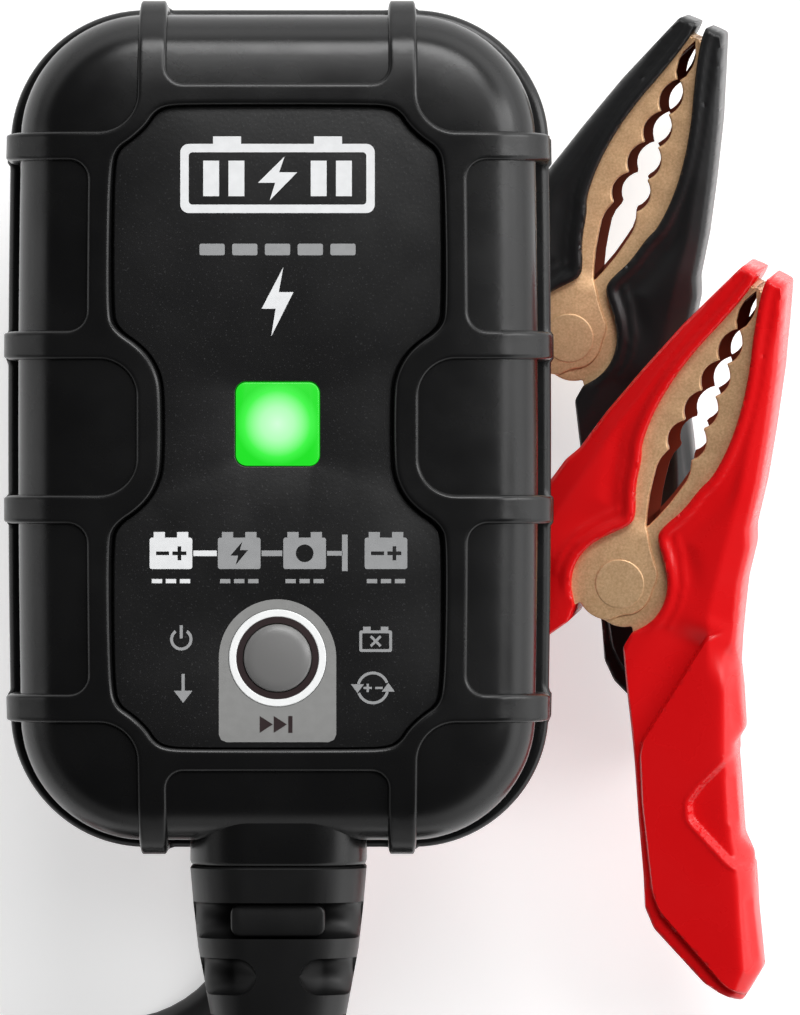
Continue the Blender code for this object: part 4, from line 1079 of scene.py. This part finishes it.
def build_jaw(colour, side, materials):
    """A stamped channel: two toothed plates joined by a web along the outer edge, with dark red-brown sheets
    inside as painted shade.
    """
    hand = "left" if side < 0 else "right"
    ring = resample(jaw_outline(), 0.3)
    jaw = Solid()
    for low, high in ((JAW_HALF - 1.0, JAW_HALF), (-JAW_HALF, 1.0 - JAW_HALF)):
        points, faces = prism(ring, low, high, 0.22).parts()
        reach = np.hypot(points[:, 0], points[:, 1])
        if side > 0:
            points[:, 2] -= np.sign(low) * 1.1 * (1 - smooth_step(reach, 2.9, 3.5))
        else:
            points[:, 2] += np.sign(low) * 0.28 * (1 - smooth_step(reach, 5.6, 8.0))
        jaw.add(points, faces)
    outer = np.array(JAW_OUTER)
    web = np.vstack([outer, (outer - (1.0, 0.0))[::-1]])
    jaw.add(*prism(web, 0.1 - JAW_HALF, JAW_HALF - 0.1).parts())
    clamp_mesh(colour, side, f"{colour}_jaw_plates_{hand}", *jaw.parts(), materials["copper"], slot="copper",
               replaces=(f"{colour}_jaw_{hand}",), sharp=35)
    # Dark red-brown sheets along the web and over the lower plate: painted shade inside the channel.
    inner = outer[:8] - (1.0, 0.0)
    shade_sheet = Solid()
    shade_sheet.add(*prism(np.vstack([inner, (inner - (0.12, 0.0))[::-1]]), 1.0 - JAW_HALF, JAW_HALF - 1.0).parts())
    floor_ring = resample(np.array(JAW_OUTER[:7] + jaw_teeth()), 0.5) - (0.6, 0.0)
    shade_sheet.add(*prism(floor_ring, 0.98 - JAW_HALF, 1.06 - JAW_HALF).parts())
    clamp_mesh(colour, side, f"{colour}_jaw_shade_sheet_{hand}", *shade_sheet.parts(), materials["jaw_painted_shade"], sharp=35)


def build_rivet(colour, materials):
    """A flat rivet head, set off by a fine groove, on both faces of the clamp."""
    top = JAW_HALF + 0.36
    upper = [
        (1.5, top - 0.68), (2.72, top - 0.68), (2.72, top - 0.06), (2.66, top - 0.01), (2.55, top), (1.5, top),
        (0.0, top),
    ]
    profile = [(radius, -z) for radius, z in reversed(upper)] + upper
    clamp_mesh(colour, -1, f"{colour}_rivet_heads", *turned(profile, (0.0, 0.0), 64), materials["rivet"],
               slot="steel", replaces=(f"{colour}_pivot_rivet",), sharp=35)


def build_clamp(colour, materials):
    for side in (-1, 1):
        build_cover(colour, side, materials[colour])
        build_jaw(colour, side, materials)
    build_rivet(colour, materials)


# Cords

CABLE_DIAMETER = 5.5
LEAD_DIAMETER = 3.8
BOOT_END = -80.0
COIL_CENTRE = (-4.0, -119.5)
SPLITTER_FOOT = (-51.0, -125.5)
SPLITTER_LENGTH = 24.0
INTO_COIL = (2, 44)  # steps of the route, from the boot into the coil
RELAXING_PASSES = 10
COVER_END_MIDDLE = (23.3, -34.85)


def smooth_route(knots, spacing):
    """Even points along a smooth curve through the knots."""
    points = [Vector(knot) for knot in knots]
    padded = [2 * points[0] - points[1]] + points + [2 * points[-1] - points[-2]]
    fine = []
    for a, b, c, d in zip(padded, padded[1:], padded[2:], padded[3:]):
        for i in range(20):
            t = i / 20
            bend = (2 * a - 5 * b + 4 * c - d) * t * t + (3 * b - a - 3 * c + d) * t ** 3
            fine.append((2 * b + (c - a) * t + bend) / 2)
    fine.append(points[-1])
    return resample(np.array([tuple(p) for p in fine]), spacing, closed=False)


def on_floor(x, y, height):
    return (x, y + BODY_Y, FLOOR_Z + height)


def make_cord(name, route, diameter, material):
    curve = bpy.data.curves.new(name, "CURVE")
    curve.dimensions = "3D"
    curve.bevel_depth = diameter / 2 * MM
    curve.bevel_resolution = 6
    curve.use_fill_caps = True
    spline = curve.splines.new("POLY")
    spline.points.add(len(route) - 1)
    for item, point in zip(spline.points, route):
        item.co = (*(Vector(point) * MM), 1.0)
    curve.materials.append(material)
    cord = new_object(name, curve)
    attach(cord, CHARGER)
    return cord


def coil_route():
    """The cable's coil, wound clockwise seen from above: down through three flat spirals."""
    low, high = 21.75, 38.25
    top, middle, bottom = 13.75, 8.25, 2.75
    rest = 19.55
    stretches = [  # degrees, radius at both ends, height at both ends, steps, bulge
        (84.0, 30.0, low - 0.4, rest, rest, 8, 0.0),
        (90.0, low - 0.4, low, rest, top, 9, 0.0),
        (1080.0, low, high, top, top, 90, 0.0),
        (108.0, high, high, top, middle, 9, 0.45),
        (1080.0, high, low, middle, middle, 90, 0.0),
        (108.0, low, low, middle, bottom, 9, -0.45),
        (1080.0, low, high, bottom, bottom, 90, 0.0),
    ]
    knots, start = [], -30.0
    for turn, radius_from, radius_to, z_from, z_to, steps, bulge in stretches:
        for i in range(steps):
            share = i / steps
            gentle = share * share * (3 - 2 * share)
            angle = math.radians(start - turn * share)
            radius = radius_from + (radius_to - radius_from) * (share if z_from == z_to else gentle)
            radius += bulge * math.sin(math.pi * share)
            knots.append((COIL_CENTRE[0] + radius * math.cos(angle), COIL_CENTRE[1] + radius * math.sin(angle),
                          z_from + (z_to - z_from) * gentle))
        start -= turn
    return knots


def build_cords(materials):
    lie, flat = CABLE_DIAMETER / 2, LEAD_DIAMETER / 2
    cable = [(0.2, -89.5, 44.7), (4.0, -98.5, 39.2), (11.3, -109.5, 29.2), (18.2, -120.6, 22.2)] + coil_route()
    cable += [(-10.0, -163.7, lie), (-23.0, -161.0, lie), (-36.0, -153.8, lie), (-46.0, -143.5, lie)]
    cable += [(-50.7, -132.5, lie), (*SPLITTER_FOOT, lie)]
    knots = [(0.0, BOOT_END + BODY_Y - 0.2, CABLE_Z)] + [on_floor(*knot) for knot in cable]
    route = smooth_route(knots, 3.0)
    first, last = INTO_COIL
    for _ in range(RELAXING_PASSES):
        beside = route[first - 1:last - 1] + route[first + 1:last + 1]
        route[first:last] = 0.5 * route[first:last] + 0.25 * beside
    cord = make_cord("output_cable", route, CABLE_DIAMETER, materials["cable"])
    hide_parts("dc_cable", "dc_cable_coil", "dc_cable_tail")
    splitter = build_splitter(materials["cable"])
    foot_x, foot_y = SPLITTER_FOOT
    mouth_y = foot_y + SPLITTER_LENGTH + 0.4
    red = [
        (foot_x + 2.2, mouth_y, lie), (-45.8, -88.5, flat), (-36.0, -79.0, flat), (-23.0, -74.8, flat),
        (-10.5, -73.0, flat), (-2.2, -67.5, flat), (0.6, -59.0, 3.6), (1.6, -51.0, 8.4), (1.9, -44.0, 12.2),
    ]
    black = [
        (foot_x - 2.6, mouth_y, lie), (-54.6, -91.5, flat), (-51.2, -82.0, flat), (-41.0, -73.0, flat),
        (-27.0, -68.8, flat), (-14.0, -67.4, flat), (-6.4, -62.0, flat), (-4.6, -54.0, flat),
        (-5.2, -42.0, flat), (-5.0, -29.0, 2.7), (-3.7, -20.0, 4.7),
    ]
    for colour, way, material, slot in (("red", red, "red_lead", "red_lead_pvc"),
                                        ("black", black, "cable", "cable_rubber")):
        route = smooth_route([on_floor(*knot) for knot in way] + [clamp_exit(colour)], 2.0)
        lead = make_cord(f"{colour}_lead_wire", route, LEAD_DIAMETER, materials[material])
        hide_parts(f"{colour}_lead")


def clamp_exit(colour):
    """Where a lead leaves the end of the clamp's left handle."""
    rotation, pivot = clamp_place(colour)
    x, y, z = rotation @ np.array((-COVER_END_MIDDLE[0], COVER_END_MIDDLE[1], 0.0)) + pivot
    return (x, y - 0.4, z)


def build_splitter(material):
    """The moulded joint where the cable divides into the two leads."""
    foot_x, foot_y = SPLITTER_FOOT
    table = [
        (0.4, 2.7, 2.65), (0.6, 3.0, 2.7), (6.0, 4.2, 2.7), (9.0, 5.3, 2.7), (10.0, 5.4, 2.7), (22.0, 5.4, 2.7),
        (23.4, 5.2, 2.6), (24.2, 4.7, 2.3),
    ]
    rings = []
    for along, half_x, half_z in table:
        section = rounded_rectangle(half_x, half_z, min(2.25, half_z - 0.05))
        rings.append([on_floor(foot_x + x, foot_y + along, CABLE_DIAMETER / 2 + z) for x, z in section])
    return make_mesh("lead_splitter", *loft(rings), material, slot="cable_rubber", replaces=("cable_splitter",),
                     shift=(0.0, 0.0, 0.0))


# Pieces kept from the CAD part

KEPT = {
    "outlet_boss": "shell", "plug_blade_left": "brass", "plug_blade_right": "brass", "circuit_board": "board",
    "transformer": "winding", "filter_choke": "winding", "input_capacitor": "capacitor",
    "output_capacitor": "capacitor", "fuse": "fuse", "heat_sink": "aluminium", "status_led": "led",
    "tact_switch": "switch", "black_spring": "spring", "red_spring": "spring",
    **{f"housing_screw_{number}": "steel" for number in range(1, 5)},
}


def finish_kept_nodes(materials):
    for name, material in KEPT.items():
        item = frame["nodes"][name]
        item.data.materials.clear()
        item.data.materials.append(materials[material])


# Stage

LIGHT_AIM = (0.012, -0.03, 0.02)
LIGHTS = {  # place and size in metres, power in watts
    "softbox_top": ((0.2, 0.68, 1.02), (0.75, 0.42), 9.0),
    "softbox_right": ((0.88, 0.22, 0.85), (0.35, 0.8), 5.4),
    "strip_left": ((-1.0, 0.0, 0.35), (0.12, 0.9), 0.5),
}
FLOOR_HALF = 6.0
CAMERA_PLACE = (13.1, BODY_Y - 8.6, FRONT_Z + 1000.0)
CAMERA_LENS = 332.0


def add_light(name, place, size, power):
    light = bpy.data.lights.new(name, "AREA")
    light.shape = "RECTANGLE"
    light.size, light.size_y = size
    light.energy = power
    item = new_object(name, light)
    item.location = place
    item.rotation_euler = (Vector(LIGHT_AIM) - Vector(place)).to_track_quat("-Z", "Y").to_euler()


def build_world():
    """A band of light round the horizon, stronger to the upper right, under a dark zenith."""
    nodes = Nodes(bpy.data.worlds.new("studio"))
    direction = nodes.coordinates("Generated")
    split = nodes.add("ShaderNodeSeparateXYZ", direction)
    levels = ((0.0, 0.8), (0.3, 1.0), (0.42, 0.9), (0.6, 0.03), (0.8, 0.006))
    nodes.link(nodes.ramp(split.outputs["Z"], [(place, (level,) * 3) for place, level in levels]), "Color")
    aim = nodes.add("ShaderNodeVectorMath", direction, operation="DOT_PRODUCT")
    aim.inputs[1].default_value = (0.55, 0.35, 0.0)
    nodes.link(nodes.remap(aim.outputs["Value"], -0.5, 0.6, 0.45, 2.3), "Strength")
    bpy.context.scene.world = nodes.owner


def build_floor(material):
    corners = [(x * FLOOR_HALF, y * FLOOR_HALF, FLOOR_Z * MM) for x, y in ((-1, -1), (1, -1), (1, 1), (-1, 1))]
    mesh = bpy.data.meshes.new("floor")
    mesh.from_pydata(corners, [], [(0, 1, 2, 3)])
    mesh.materials.append(material)
    new_object("floor", mesh)


def build_camera():
    """Straight down on the charger's face, from about a metre."""
    data = bpy.data.cameras.new("camera")
    data.lens = CAMERA_LENS
    data.sensor_width = 36.0
    data.clip_start = 0.05
    data.clip_end = 20.0
    camera = new_object("camera", data)
    camera.location = Vector(CAMERA_PLACE) * MM
    bpy.context.scene.camera = camera


def main():
    materials = make_materials()
    materials["lens"] = lit_lens((LENS_CENTRE[0] * MM, (LENS_CENTRE[1] + BODY_Y) * MM), LENS_HALF * MM)
    build_front_shell(materials["shell"])
    build_rear_shell(materials["shell"])
    build_gasket(materials["boot"])
    build_neck(materials["shell"])
    build_overlay(materials["overlay"])
    build_lens(materials["lens"])
    build_button(materials)
    build_prints(materials)
    build_boot(materials["boot"])
    for colour in CLAMPS:
        build_clamp(colour, materials)
    build_cords(materials)
    finish_kept_nodes(materials)
    build_floor(materials["floor"])
    build_world()
    for name, settings in LIGHTS.items():
        add_light(name, *settings)
    build_camera()
    bpy.context.scene.view_settings.view_transform = "Standard"


main()
